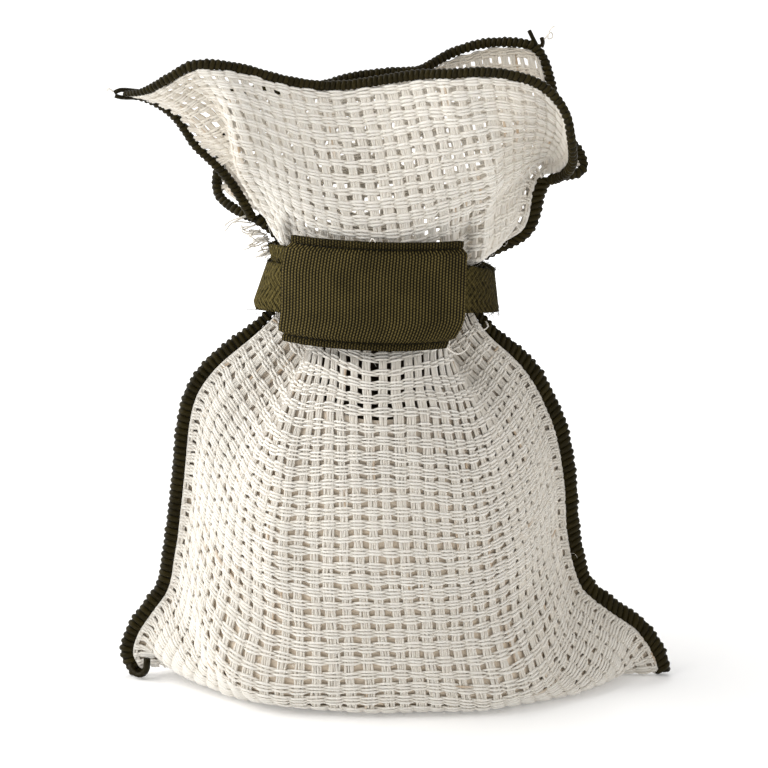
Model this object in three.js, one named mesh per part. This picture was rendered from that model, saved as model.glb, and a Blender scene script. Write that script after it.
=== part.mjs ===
import * as THREE from 'three';

// Mesh drawstring pouch: one length of cloth folded at the bottom, overlocked up both sides,
// standing hollow, with its neck drawn in by a tape and a plain woven band slipped over the tape.

// Driving dimensions, in millimetres. The pouch lies flat as BAG_WIDTH by BAG_LENGTH.
const BAG_WIDTH = 150;
const BAG_LENGTH = 205;
const CLOTH_THICK = 1.4;
const CLEARANCE = 0.3;
const EDGE_CLEARANCE = 0.45;

// The overlocked edges: the bead of thread along the side seams and round each flap.
const EDGE_WIDTH = 4.2;
const EDGE_THICK = 1.7;
const SEAM_THICK = 3;
const CORNER_RADIUS = 5;
const CORNER_CUT = 1.5;
const SEAM_FIN = 4;
const SEAM_START = 1.6;
const FLAP_EDGE_START = { left: 1, right: 3.2 };
const LAYER_SPACING = 2.2;

// How far up the cloth the side seams reach. The flaps above them are free.
const SPLIT_LEFT = 142;
const SPLIT_RIGHT = 164;

// The oval of the neck.
const NECK_HEIGHT = 108.5;
const NECK_MIDDLE_X = -3.6;
const NECK_HALF_WIDTH = 29;
const NECK_DEPTH_FRONT = 21.6;
const NECK_DEPTH_BACK = 21.6;

// The tape lies level at FLARE_PIVOT of its width above its middle, and flares outwards below
// that. It hangs lower on the right than on the left, and a little higher in front.
const TAPE_WIDTH = 13;
const TAPE_MIDDLE_HEIGHT = 110.8;
const TAPE_THICK = 1;
const TAPE_PITCH = TAPE_THICK + EDGE_CLEARANCE;
const TAPE_FLARE = { left: 3.4, right: 1.6, back: 0.9 };
const FLARE_PIVOT = 0.35;
const TAPE_SLANT = 1.6;
const TAPE_FRONT_RISE = 1.2;
const FIRST_TURN_LIFT = 0;
const FIRST_TURN_SLANT = 0.5;

const LABEL_WIDTH = 52;
const LABEL_SHIFT = -1;
const LABEL_HEIGHT = 28;
const LABEL_THICK = 1;
const LABEL_HEM = 1.9;
const LABEL_SLOPE = 0.8;
const LABEL_MIDDLE_HEIGHT = 110.6;
const LABEL_TILT = THREE.MathUtils.degToRad(-1.5);

// A place on the cloth is given flat: across, from the middle of the left overlocked edge
// (-HALF_WIDTH) to that of the right one, and up, from the bottom fold (0) to the middle of the
// overlocked rim (LENGTH).
const HALF_WIDTH = (BAG_WIDTH - EDGE_WIDTH) / 2;
const LENGTH = BAG_LENGTH - EDGE_WIDTH / 2;

const SIDES = { front: -1, back: 1 };
const REST = CLOTH_THICK / 2;

// The side seams as they hang, in the plane between front and back, from the bottom fold up to
// the place where the two flaps part.
const SEAMS = {
  left: [
    { x: -70.8, z: 0.7 }, { x: -73.2, z: 6.5 }, { x: -71.6, z: 12.8 }, { x: -67.6, z: 19.1 },
    { x: -63.3, z: 25.7 }, { x: -61.5, z: 34.9 }, { x: -58.9, z: 53.3 }, { x: -56.4, z: 73.5 },
    { x: -53.8, z: 80.9 }, { x: -49, z: 87.3 }, { x: -43.3, z: 92 }, { x: -37.5, z: 96.5 },
    { x: -33, z: 101 }, { x: -30.2, z: 106 }, { x: -29, z: 112 }, { x: -28.6, z: 118.8 },
    { x: -31.2, z: 123.8 }, { x: -36.4, z: 128 },
  ],
  right: [
    { x: 75.4, z: 0.7 }, { x: 74.8, z: 4 }, { x: 72.4, z: 9.3 }, { x: 68.1, z: 14.9 },
    { x: 61, z: 20 }, { x: 53.6, z: 26.3 }, { x: 50.8, z: 33.5 }, { x: 49, z: 43.4 },
    { x: 48, z: 56 }, { x: 45.7, z: 69.8 }, { x: 42.4, z: 78.2 }, { x: 38.4, z: 85.6 },
    { x: 33.4, z: 91.4 }, { x: 27.8, z: 96.4 }, { x: 23.8, z: 101.4 }, { x: 22.4, z: 107 },
    { x: 21.9, z: 113.8 }, { x: 24.6, z: 118.4 }, { x: 30.3, z: 121.6 }, { x: 35, z: 124.4 },
    { x: 37.4, z: 129.2 }, { x: 38.4, z: 134 }, { x: 40.2, z: 138.6 },
  ],
};

// The free side edges of the flaps, from where they part up to the corners of the rim.
const FLAP_EDGES = {
  front: {
    left: [
      { x: -41, y: -2, z: 132.9 }, { x: -45.8, y: -4, z: 139.4 }, { x: -50.4, y: -6, z: 147 },
      { x: -55.5, y: -6, z: 154.2 }, { x: -62.6, y: -5, z: 159 }, { x: -70.4, y: -6, z: 161 },
    ],
    right: [
      { x: 44.4, y: -6, z: 140 }, { x: 47.6, y: -14, z: 144 }, { x: 47.2, y: -22, z: 151.2 },
    ],
  },
  back: {
    left: [
      { x: -41.6, y: 4, z: 131.6 }, { x: -46.6, y: 9, z: 136.4 }, { x: -48, y: 13, z: 146 },
      { x: -45.5, y: 15, z: 159.5 },
    ],
    right: [
      { x: 45.8, y: 4, z: 139.2 }, { x: 51.2, y: 7, z: 141.2 }, { x: 52, y: 10, z: 147 },
      { x: 46.6, y: 12.5, z: 155 }, { x: 41.8, y: 14, z: 163.5 }, { x: 39.8, y: 15, z: 171 },
    ],
  },
};

// The middle of each panel in side view, from the bottom fold to the rim.
const MIDDLES = {
  front: [
    { x: 2, y: 0, z: REST }, { x: 2, y: -29, z: REST }, { x: 1.5, y: -34, z: 2.6 },
    { x: 1, y: -36, z: 9 }, { x: -1, y: -35.5, z: 28 }, { x: -3, y: -35, z: 52 },
    { x: -4, y: -34, z: 72 }, { x: -4.6, y: -31.5, z: 82 }, { x: -4.6, y: -26.5, z: 90 },
    { x: -4.6, y: -22.5, z: 98 }, { x: -4.6, y: -NECK_DEPTH_FRONT, z: NECK_HEIGHT },
    { x: -4.8, y: -21.4, z: 120 }, { x: -6.5, y: -20, z: 135 }, { x: -9, y: -17.5, z: 150 },
    { x: -12, y: -15, z: 163.3 },
  ],
  back: [
    { x: 2, y: 0, z: REST }, { x: 2, y: 21, z: REST }, { x: 1.5, y: 28, z: 2.6 },
    { x: 1, y: 31.5, z: 9 }, { x: 0, y: 33, z: 28 }, { x: -2, y: 33, z: 52 },
    { x: -4, y: 32, z: 70 }, { x: -4.6, y: 29, z: 81 }, { x: -4.6, y: 24.5, z: 90 },
    { x: -4.6, y: 22, z: 98 }, { x: -4.6, y: NECK_DEPTH_BACK, z: NECK_HEIGHT },
    { x: -4.8, y: 20.5, z: 120 }, { x: -6, y: 18, z: 135 }, { x: -7, y: 15, z: 150 },
    { x: -8, y: 12, z: 165.5 },
  ],
};

// The rim of each flap, from its left corner to its right one.
const RIMS = {
  front: [
    { x: -70.4, y: -6, z: 161 }, { x: -63.5, y: -14, z: 161.9 }, { x: -56.5, y: -20, z: 165.5 },
    { x: -50.4, y: -23, z: 168.7 }, { x: -44.7, y: -23, z: 169 }, { x: -37.4, y: -20, z: 167.6 },
    { x: -28.7, y: -17, z: 164.8 }, { x: -21, y: -15, z: 163.4 }, { x: -12.2, y: -14, z: 163.2 },
    { x: -3.2, y: -15, z: 164.5 }, { x: 7, y: -18, z: 166.2 }, { x: 14.5, y: -20, z: 166.5 },
    { x: 23.3, y: -21, z: 167 }, { x: 31, y: -21, z: 166 }, { x: 38, y: -20, z: 163.5 },
    { x: 42.6, y: -20, z: 160 }, { x: 45.6, y: -21, z: 155.8 }, { x: 47.2, y: -22, z: 151.2 },
  ],
  back: [
    { x: -45.5, y: 15, z: 159.5 }, { x: -34, y: 18, z: 159.4 }, { x: -22, y: 14, z: 160.2 },
    { x: -11.3, y: 11, z: 163.3 }, { x: -0.6, y: 11, z: 164.7 }, { x: 7.4, y: 13, z: 165.2 },
    { x: 15.5, y: 16, z: 169.2 }, { x: 23.6, y: 17, z: 171.8 }, { x: 31.6, y: 16, z: 172.4 },
    { x: 36.6, y: 15, z: 171.8 }, { x: 39.8, y: 15, z: 171 },
  ],
};

// How a row of the cloth runs from the middle of a panel to the seams. left and right are how far
// it keeps the middle's depth on that hand. flare is how far it goes straight out to the seam and
// not round the side, and late is how near to the seam it comes in and climbs.
const ROW_SHAPES = [
  { up: 0, left: 0.5, right: 0.5, flare: 1, late: 0.5 },
  { up: 8, left: 0.75, right: 1, flare: 0.3, late: 0.95 },
  { up: 20, left: 0.85, right: 1, flare: 0.3, late: 0.95 },
  { up: 34, left: 0.9, right: 0.9, flare: 0.35, late: 0.75 },
  { up: 55, left: 0.7, right: 0.65, flare: 0.3, late: 0.53 },
  { up: 95, left: 0.6, right: 0.6, flare: 0.28, late: 0.51 },
  { up: 130, left: 0.5, right: 0.5, flare: 0.2, late: 0.52 },
  { up: 150, left: 0.5, right: 0.5, flare: 0.4, late: 0.49 },
  { up: LENGTH, left: 0.6, right: 0.65, flare: 0.6, late: 0.45 },
];

// The share of a half row that its straight run out to the seam can span.
const ROOT_SPAN = 0.45;

// How strongly the spare width at the neck crowds towards the seams.
const CROWDING = 2.2;

// Gathers: the spare width at the neck turns inwards in a trough beside each seam, which fades
// out below and above the neck.
const GATHERS = [
  { side: 'front', across: -49, halfWidth: 19, depth: 7.5, below: 75, above: 17 },
  { side: 'front', across: 49, halfWidth: 19, depth: 8, below: 42, above: 14 },
  { side: 'back', across: -49, halfWidth: 17, depth: 7, below: 50, above: 17 },
  { side: 'back', across: 49, halfWidth: 17, depth: 7, below: 50, above: 14 },
];

// The oval that the neck is bound in, how far above and below its middle each binding presses the
// cloth, and how far to each side the woven band spans.
const BOUND_HALF_WIDTH = NECK_HALF_WIDTH - REST - 2 * CLEARANCE - LABEL_THICK;
const BOUND_DEPTH = NECK_DEPTH_FRONT - CLEARANCE / 2;
const TAPE_REACH = 7.6;
const LABEL_REACH = 15.5;
const LABEL_SPAN = 23;

// How fast the cloth may open out past each binding, as a slope.
const OPENING_BY_TAPE = 2.5;
const OPENING_BY_LABEL = 1.2;

const COLOURS = { cloth: 0xe6dfd1, stitch: 0x2b2a1c, tape: 0x4a4a2c, label: 0x6a6844 };

const Y_AXIS = new THREE.Vector3(0, 1, 0);

function curve(points) {
  const places = points.map((p) => new THREE.Vector3(p.x, p.y ?? 0, p.z));
  const line = new THREE.CatmullRomCurve3(places, false, 'centripetal');
  line.arcLengthDivisions = 400;
  return line;
}

const seamCurves = { left: curve(SEAMS.left), right: curve(SEAMS.right) };
const splits = { left: SPLIT_LEFT, right: SPLIT_RIGHT };
const flapCurves = {};
const middleCurves = {};
const rimCurves = {};
for (const side of ['front', 'back']) {
  flapCurves[side] = {};
  for (const hand of ['left', 'right']) {
    const seam = SEAMS[hand];
    flapCurves[side][hand] = curve([seam[seam.length - 1], ...FLAP_EDGES[side][hand]]);
  }
  middleCurves[side] = curve(MIDDLES[side]);
  rimCurves[side] = curve(RIMS[side]);
}

function shapeAt(up) {
  const next = Math.max(1, ROW_SHAPES.findIndex((row) => row.up >= up));
  const a = ROW_SHAPES[next - 1];
  const b = ROW_SHAPES[next];
  const share = THREE.MathUtils.smoothstep(up, a.up, b.up);
  return {
    left: THREE.MathUtils.lerp(a.left, b.left, share),
    right: THREE.MathUtils.lerp(a.right, b.right, share),
    flare: THREE.MathUtils.lerp(a.flare, b.flare, share),
    late: THREE.MathUtils.lerp(a.late, b.late, share),
  };
}

// How far each of the two layers lies from the plane between them, round the fold and above it.
function layerAt(up) {
  const apart = LAYER_SPACING / 2;
  return apart * Math.sin(Math.min(up / apart, Math.PI / 2));
}

// The edge of a panel at a height up the cloth, and the direction in which it points outwards.
function edgeAt(side, hand, up) {
  const split = splits[hand];
  const onSeam = up <= split;
  const line = onSeam ? seamCurves[hand] : flapCurves[side][hand];
  const share = onSeam ? up / split : (up - split) / (LENGTH - split);
  const point = line.getPointAt(share);
  const along = line.getTangentAt(share);
  const out = along.clone().cross(Y_AXIS).normalize();
  if (hand === 'right') out.negate();
  point.y += SIDES[side] * layerAt(up);
  return { point, out };
}

// One row of the cloth: its middle, and a smooth curve from there to the fin of each seam.
function makeRow(side, up) {
  const middle = middleCurves[side].getPointAt(up / LENGTH);
  const shape = shapeAt(up);
  const row = { middle };
  for (const hand of ['left', 'right']) {
    const { point, out } = edgeAt(side, hand, up);
    const root = point.clone().addScaledVector(out, -SEAM_FIN);
    const reach = root.clone().sub(middle);
    const nearMiddle = middle.clone().add(new THREE.Vector3(reach.x * shape[hand], 0, 0));
    const nearRoot = root.clone().sub(new THREE.Vector3(
      reach.x * ROOT_SPAN * shape.flare,
      reach.y * shape.late,
      reach.z * shape.late,
    ));
    row[hand] = {
      line: new THREE.CubicBezierCurve3(middle, nearMiddle, nearRoot, root),
      root,
      point,
    };
    row[hand].line.arcLengthDivisions = 40;
  }
  return row;
}

const rowCache = new Map();

function rowAt(side, up) {
  const key = `${side}${up.toFixed(4)}`;
  if (!rowCache.has(key)) rowCache.set(key, makeRow(side, up));
  return rowCache.get(key);
}

// A point of a panel before its gathers. At the neck the spare width is left near the seams.
function rowPoint(side, across, up) {
  const row = rowAt(side, up);
  const half = across < 0 ? row.left : row.right;
  const flatReach = HALF_WIDTH - SEAM_FIN;
  const flat = Math.abs(across);
  if (flat >= flatReach) {
    return half.root.clone().lerp(half.point, (flat - flatReach) / SEAM_FIN);
  }
  const length = half.line.getLength();
  const spare = flatReach - length;
  const share = flat / flatReach;
  const placed = spare > 0 ? flat - spare * share ** CROWDING : length * share;
  return half.line.getPointAt(THREE.MathUtils.clamp(placed / length, 0, 1));
}

// The rows above the neck turn into the waves of the rim.
function smoothPoint(side, across, up) {
  const point = rowPoint(side, across, up);
  const pull = THREE.MathUtils.smoothstep(up, SPLIT_LEFT, LENGTH);
  if (pull > 0) {
    const rim = rimCurves[side].getPointAt((across + HALF_WIDTH) / (2 * HALF_WIDTH));
    const plain = rowPoint(side, across, LENGTH);
    point.addScaledVector(rim.sub(plain), pull);
  }
  return point;
}

function surfaceNormal(pointAt, side, across, up) {
  const step = 0.4;
  const overAcross = pointAt(side, Math.min(across + step, HALF_WIDTH), up)
    .sub(pointAt(side, Math.max(across - step, -HALF_WIDTH), up));
  const below = up - step < 0
    ? pointAt(side === 'front' ? 'back' : 'front', across, step - up)
    : pointAt(side, across, up - step);
  const overUp = pointAt(side, across, Math.min(up + step, LENGTH)).sub(below);
  const normal = overAcross.cross(overUp).normalize();
  return side === 'front' ? normal : normal.negate();
}

function bump(distance, halfWidth) {
  const share = Math.min(Math.abs(distance) / halfWidth, 1);
  return 0.5 + 0.5 * Math.cos(Math.PI * share);
}

// The tape presses the cloth inside an oval, which widens above and below the tape.
function pressByTape(point) {
  const offMiddle = point.x - NECK_MIDDLE_X;
  const tapeHeight = TAPE_MIDDLE_HEIGHT - TAPE_SLANT * offMiddle / NECK_HALF_WIDTH;
  const past = Math.max(0, Math.abs(point.z - tapeHeight) - TAPE_REACH);
  if (past > TAPE_REACH) return;
  const halfWidth = BOUND_HALF_WIDTH + OPENING_BY_TAPE * past;
  const depth = BOUND_DEPTH + OPENING_BY_TAPE * past;
  const reach = Math.hypot(offMiddle / halfWidth, point.y / depth);
  if (reach > 1) {
    point.x = NECK_MIDDLE_X + offMiddle / reach;
    point.y /= reach;
  }
}

// The woven band presses the front inside the same oval, as far up and down as it reaches.
function pressByLabel(point) {
  const past = Math.max(0, Math.abs(point.z - LABEL_MIDDLE_HEIGHT) - LABEL_REACH);
  const offMiddle = Math.abs(point.x - NECK_MIDDLE_X);
  const beside = Math.max(0, offMiddle - LABEL_SPAN);
  const share = Math.min(offMiddle, LABEL_SPAN) / BOUND_HALF_WIDTH;
  const limit = BOUND_DEPTH * Math.sqrt(1 - share ** 2) + OPENING_BY_LABEL * past + beside;
  point.y = Math.max(point.y, -limit);
}

// A point of the middle of the cloth's thickness, with the gathers pressed in.
function clothPoint(side, across, up) {
  const point = smoothPoint(side, across, up);
  let inward = 0;
  for (const fold of GATHERS) {
    if (fold.side !== side) continue;
    const height = point.z - NECK_HEIGHT;
    const reach = height < 0 ? fold.below : fold.above;
    inward += fold.depth * bump(across - fold.across, fold.halfWidth) * bump(height, reach);
  }
  if (inward > 0) {
    point.addScaledVector(surfaceNormal(smoothPoint, side, across, up), -inward);
  }
  pressByTape(point);
  if (side === 'front') pressByLabel(point);
  const sign = SIDES[side];
  point.y = sign * Math.max(sign * point.y, layerAt(up));
  point.z = Math.max(point.z, REST);
  return point;
}

function clothNormal(side, across, up) {
  return surfaceNormal(clothPoint, side, across, up);
}

// A closed body from a list of triangles, turned so that its faces point outwards.
function closedGeometry(positions, triangles) {
  let volume = 0;
  for (const [a, b, c] of triangles) {
    volume += positions[a].dot(positions[b].clone().cross(positions[c]));
  }
  const geometry = new THREE.BufferGeometry();
  geometry.setAttribute('position', new THREE.Float32BufferAttribute(
    positions.flatMap((p) => [p.x, p.y, p.z]), 3));
  geometry.setIndex(triangles.flatMap(([a, b, c]) => (volume > 0 ? [a, b, c] : [a, c, b])));
  geometry.computeVertexNormals();
  return geometry;
}

// A solid through a row of like closed rings, with flat ends. Each facet between two rings is
// split along its shorter diagonal.
function sweptGeometry(rings) {
  const count = rings[0].length;
  const positions = rings.flat();
  const triangles = [];
  for (let step = 0; step + 1 < rings.length; step += 1) {
    for (let k = 0; k < count; k += 1) {
      const a = step * count + k;
      const b = step * count + (k + 1) % count;
      const c = a + count;
      const d = b + count;
      if (positions[b].distanceTo(positions[c]) < positions[a].distanceTo(positions[d])) {
        triangles.push([a, b, c], [b, d, c]);
      } else {
        triangles.push([a, b, d], [a, d, c]);
      }
    }
  }
  const last = (rings.length - 1) * count;
  for (let k = 1; k + 1 < count; k += 1) {
    triangles.push([0, k + 1, k], [last, last + k, last + k + 1]);
  }
  return closedGeometry(positions, triangles);
}

function makeMesh(name, geometry, colour, roughness) {
  const material = new THREE.MeshStandardMaterial({ color: colour, roughness, metalness: 0 });
  material.side = THREE.DoubleSide;
  const mesh = new THREE.Mesh(geometry, material);
  mesh.name = name;
  return mesh;
}

// Where the cloth and its edges are sampled. Both use the same stations, so that the clearance
// between them holds along every bend.
const CLOTH_INSET = EDGE_WIDTH / 2 + EDGE_CLEARANCE;
const HALF_COLUMNS = [0, 8, 16, 24, 30.5, 35.5, 40, 44.5, 49, 53.5, 57.5, 61.5, 65.5, HALF_WIDTH];
const COLUMNS = [...HALF_COLUMNS.slice(1).reverse().map((across) => -across), ...HALF_COLUMNS];
const STATION_GAP = 1.5;
const PANEL_ROWS = [0.8, 1.6, 5, 10, 15, 20, 24.5, 28.5, 33, 40, 49, 58, 67, 76, 84, 91, 98, 104,
  109.5, 114.5, 119.5, 124.5, 129.5, 134.5, 138.5, 142.5, 147, 151, 155, 159, 163, 167, 171, 177,
  183.5, 190, 195.5, LENGTH];

// A point of the cloth's sheet. Its borders stop short of the middle of the overlocked edge.
function sheetPoint(side, across, up) {
  const atSide = Math.abs(across) === HALF_WIDTH;
  const atRim = up === LENGTH;
  if (!atSide && !atRim) return clothPoint(side, across, up);
  const line = clothPoint(side, across, up);
  const within = clothPoint(side,
    across - (atSide ? Math.sign(across) * CLOTH_INSET : 0), up - (atRim ? CLOTH_INSET : 0));
  const inset = atSide && atRim ? CLOTH_INSET * Math.SQRT2 + CORNER_CUT : CLOTH_INSET;
  return line.clone().add(within.sub(line).setLength(inset));
}

// The cloth: one sheet from the front rim, down under the bottom fold and up to the back rim.
function makeCloth() {
  const rows = [
    ...PANEL_ROWS.slice().reverse().map((up) => ({ side: 'front', up })),
    { side: 'front', up: 0 },
    ...PANEL_ROWS.map((up) => ({ side: 'back', up })),
  ];
  const outer = [];
  const inner = [];
  for (const { side, up } of rows) {
    for (const across of COLUMNS) {
      const point = sheetPoint(side, across, up);
      const normal = clothNormal(side, across, up);
      const outside = point.clone().addScaledVector(normal, CLOTH_THICK / 2);
      outside.z = Math.max(outside.z, 0);
      outer.push(outside);
      inner.push(point.clone().addScaledVector(normal, -CLOTH_THICK / 2));
    }
  }
  const width = COLUMNS.length;
  const height = rows.length;
  const triangles = [];
  const skin = outer.length;
  for (let r = 0; r + 1 < height; r += 1) {
    for (let c = 0; c + 1 < width; c += 1) {
      const a = r * width + c;
      triangles.push([a, a + 1, a + width], [a + 1, a + width + 1, a + width]);
      const b = a + skin;
      triangles.push([b, b + width, b + 1], [b + 1, b + width, b + width + 1]);
    }
  }
  const border = [];
  for (let c = 0; c + 1 < width; c += 1) border.push([c, c + 1]);
  for (let r = 0; r + 1 < height; r += 1) {
    border.push([r * width + width - 1, (r + 1) * width + width - 1]);
  }
  for (let c = width - 1; c > 0; c -= 1) {
    border.push([(height - 1) * width + c, (height - 1) * width + c - 1]);
  }
  for (let r = height - 1; r > 0; r -= 1) border.push([r * width, (r - 1) * width]);
  for (const [a, b] of border) {
    triangles.push([a, a + skin, b], [b, a + skin, b + skin]);
  }
  return makeMesh('pouch_cloth', closedGeometry([...outer, ...inner], triangles),
    COLOURS.cloth, 0.9);
}

// An overlocked edge has an oval section: wide in the cloth's plane, thin through it.
function edgeRing(centre, outward, normal, thick) {
  const corners = 8;
  const ring = [];
  for (let k = 0; k < corners; k += 1) {
    const turn = (k + 0.5) * 2 * Math.PI / corners;
    ring.push(centre.clone()
      .addScaledVector(outward, (EDGE_WIDTH / 2) * Math.cos(turn) / Math.cos(Math.PI / corners))
      .addScaledVector(normal, (thick / 2) * Math.sin(turn) / Math.cos(Math.PI / corners)));
  }
  return ring;
}

function makeSideSeam(hand) {
  const across = hand === 'left' ? -HALF_WIDTH : HALF_WIDTH;
  const end = splits[hand] - CLEARANCE / 2;
  const stations = [SEAM_START, ...PANEL_ROWS.filter((up) => up > SEAM_START + STATION_GAP
    && up < end - STATION_GAP), end];
  const rings = stations.map((up) => {
    const centre = clothPoint('front', across, up).add(clothPoint('back', across, up))
      .multiplyScalar(0.5);
    return edgeRing(centre, edgeAt('front', hand, up).out, Y_AXIS, SEAM_THICK);
  });
  return makeMesh(`side_seam_${hand}`, sweptGeometry(rings), COLOURS.stitch, 0.85);
}

// The overlocked edge of a flap: up the left side, along the rim and down the right side, with
// small rounds at the two corners.
function makeFlapEdge(side) {
  const cornerSteps = 4;
  const straight = HALF_WIDTH - CORNER_RADIUS;
  const topStraight = LENGTH - CORNER_RADIUS;
  const sidePath = (sign, start) => [
    start, ...PANEL_ROWS.filter((up) => up > start + STATION_GAP && up < topStraight - STATION_GAP),
  ].map((up) => ({ across: sign * HALF_WIDTH, up, outAcross: sign, outUp: 0 }));
  const corner = (sign) => Array.from({ length: cornerSteps + 1 }, (_, k) => {
    const turn = (Math.PI / 2) * k / cornerSteps;
    const outAcross = sign * Math.cos(turn);
    const outUp = Math.sin(turn);
    return {
      across: sign * straight + CORNER_RADIUS * outAcross,
      up: topStraight + CORNER_RADIUS * outUp,
      outAcross,
      outUp,
    };
  });
  const path = [
    ...sidePath(-1, SPLIT_LEFT + FLAP_EDGE_START.left),
    ...corner(-1),
    ...COLUMNS.filter((across) => Math.abs(across) < straight - STATION_GAP)
      .map((across) => ({ across, up: LENGTH, outAcross: 0, outUp: 1 })),
    ...corner(1).reverse(),
    ...sidePath(1, SPLIT_RIGHT + FLAP_EDGE_START.right).reverse(),
  ];
  const rings = path.map(({ across, up, outAcross, outUp }) => {
    const centre = clothPoint(side, across, up);
    const outward = centre.clone().sub(clothPoint(side,
      across - CLOTH_INSET * outAcross, up - CLOTH_INSET * outUp)).normalize();
    return edgeRing(centre, outward, clothNormal(side, across, up), EDGE_THICK);
  });
  return makeMesh(`${side}_edge`, sweptGeometry(rings), COLOURS.stitch, 0.85);
}

// A place on the neck's oval, seen from above. turn is 0 at the front and grows to the right.
function neckPoint(turn, outward) {
  const depth = Math.cos(turn) > 0
    ? NECK_DEPTH_FRONT + REST + 2 * CLEARANCE + LABEL_THICK
    : NECK_DEPTH_BACK + REST + CLEARANCE + TAPE_FLARE.back;
  const alongX = Math.sin(turn);
  const alongY = -Math.cos(turn);
  const point = new THREE.Vector3(NECK_HALF_WIDTH * alongX, depth * alongY, 0);
  const out = new THREE.Vector3(alongX / NECK_HALF_WIDTH, alongY / depth, 0).normalize();
  point.addScaledVector(out, outward);
  point.x += NECK_MIDDLE_X;
  return { point, out };
}

// The tape goes twice round the neck. It climbs over its first turn behind the woven band, where
// its two ends are hidden too. It lies flat against the neck in front and flares at the sides:
// FLARE_STARTS and FLARE_FULL are how far back round the oval that happens.
const FLARE_STARTS = -0.7;
const FLARE_FULL = -0.1;
const TAPE_STEPS = 44;

function makeTape() {
  const stepAngle = 2 * Math.PI / TAPE_STEPS;
  const first = THREE.MathUtils.degToRad(2);
  const climbStart = THREE.MathUtils.degToRad(338);
  const climbEnd = THREE.MathUtils.degToRad(358);
  const last = THREE.MathUtils.degToRad(696);
  const turns = [first];
  for (let turn = stepAngle; turn < last; turn += stepAngle) turns.push(turn);
  turns.push(last);
  const rings = [];
  for (const turn of turns) {
    const layer = THREE.MathUtils.smoothstep(turn, climbStart, climbEnd);
    const { point, out } = neckPoint(turn, layer * TAPE_PITCH);
    const leftward = -Math.sin(turn);
    const clear = THREE.MathUtils.smoothstep(-Math.cos(turn), FLARE_STARTS, FLARE_FULL);
    const sideFlare = Math.sin(turn) < 0 ? TAPE_FLARE.left : TAPE_FLARE.right;
    const flare = clear * THREE.MathUtils.lerp(TAPE_FLARE.back, sideFlare, Math.sin(turn) ** 4);
    const firstTurn = (1 - layer) * (FIRST_TURN_LIFT + FIRST_TURN_SLANT * leftward);
    const height = TAPE_MIDDLE_HEIGHT + TAPE_SLANT * leftward + firstTurn
      + TAPE_FRONT_RISE * Math.max(0, Math.cos(turn));
    const ring = [];
    const profile = [
      { face: 0, level: -0.5 }, { face: 0, level: 0.5 },
      { face: 1, level: 0.5 }, { face: 1, level: -0.5 },
    ];
    for (const { face, level } of profile) {
      const z = height + level * TAPE_WIDTH;
      const spread = flare * (FLARE_PIVOT - level);
      ring.push(point.clone().addScaledVector(out, face * TAPE_THICK + spread).setZ(z));
    }
    rings.push(ring);
  }
  return makeMesh('neck_tape', sweptGeometry(rings), COLOURS.tape, 0.8);
}

// The woven band is a flat sleeve round the tape: two layers joined in a hem above and below.
const LABEL_STEPS = 12;
const LABEL_CURVE_RADIUS = NECK_HALF_WIDTH + 6;

function makeLabel() {
  const room = TAPE_PITCH + TAPE_THICK + 2 * CLEARANCE;
  const half = LABEL_HEIGHT / 2;
  const hem = half - LABEL_HEM;
  const mid = room / 2;
  const slot = hem - LABEL_THICK;
  const corners = (points) => points.map(([x, y]) => new THREE.Vector2(x, y));
  const outline = new THREE.Shape(corners([
    [-LABEL_THICK, LABEL_SLOPE - hem], [mid - LABEL_THICK, -hem], [mid - LABEL_THICK, -half],
    [mid + LABEL_THICK, -half], [mid + LABEL_THICK, -hem], [room + LABEL_THICK, LABEL_SLOPE - hem],
    [room + LABEL_THICK, hem - LABEL_SLOPE], [mid + LABEL_THICK, hem], [mid + LABEL_THICK, half],
    [mid - LABEL_THICK, half], [mid - LABEL_THICK, hem], [-LABEL_THICK, hem - LABEL_SLOPE],
  ]));
  outline.holes.push(new THREE.Path(corners([
    [0, slot - LABEL_SLOPE], [mid, slot], [room, slot - LABEL_SLOPE],
    [room, LABEL_SLOPE - slot], [mid, -slot], [0, LABEL_SLOPE - slot],
  ])));
  const geometry = new THREE.ExtrudeGeometry(outline, {
    depth: LABEL_WIDTH, steps: LABEL_STEPS, bevelEnabled: false,
  });
  const places = geometry.getAttribute('position');
  for (let k = 0; k < places.count; k += 1) {
    const along = LABEL_WIDTH / 2 - places.getZ(k);
    const turn = Math.asin((along + LABEL_SHIFT) / LABEL_CURVE_RADIUS);
    const level = places.getY(k);
    const { point } = neckPoint(turn, places.getX(k) - CLEARANCE);
    places.setXYZ(k,
      point.x + level * Math.sin(-LABEL_TILT),
      point.y,
      LABEL_MIDDLE_HEIGHT + level + along * Math.sin(LABEL_TILT));
  }
  return makeMesh('label_band', geometry, COLOURS.label, 0.75);
}

// The origin is the middle of the pouch's footprint, on the surface that it stands on.
const FOOTPRINT_MIDDLE = { x: 1.15, y: -1.48 };

const pouch = new THREE.Group();
pouch.position.set(-FOOTPRINT_MIDDLE.x, -FOOTPRINT_MIDDLE.y, 0);
pouch.add(
  makeCloth(),
  makeSideSeam('left'),
  makeSideSeam('right'),
  makeFlapEdge('front'),
  makeFlapEdge('back'),
  makeTape(),
  makeLabel(),
);

export default pouch;
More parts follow.
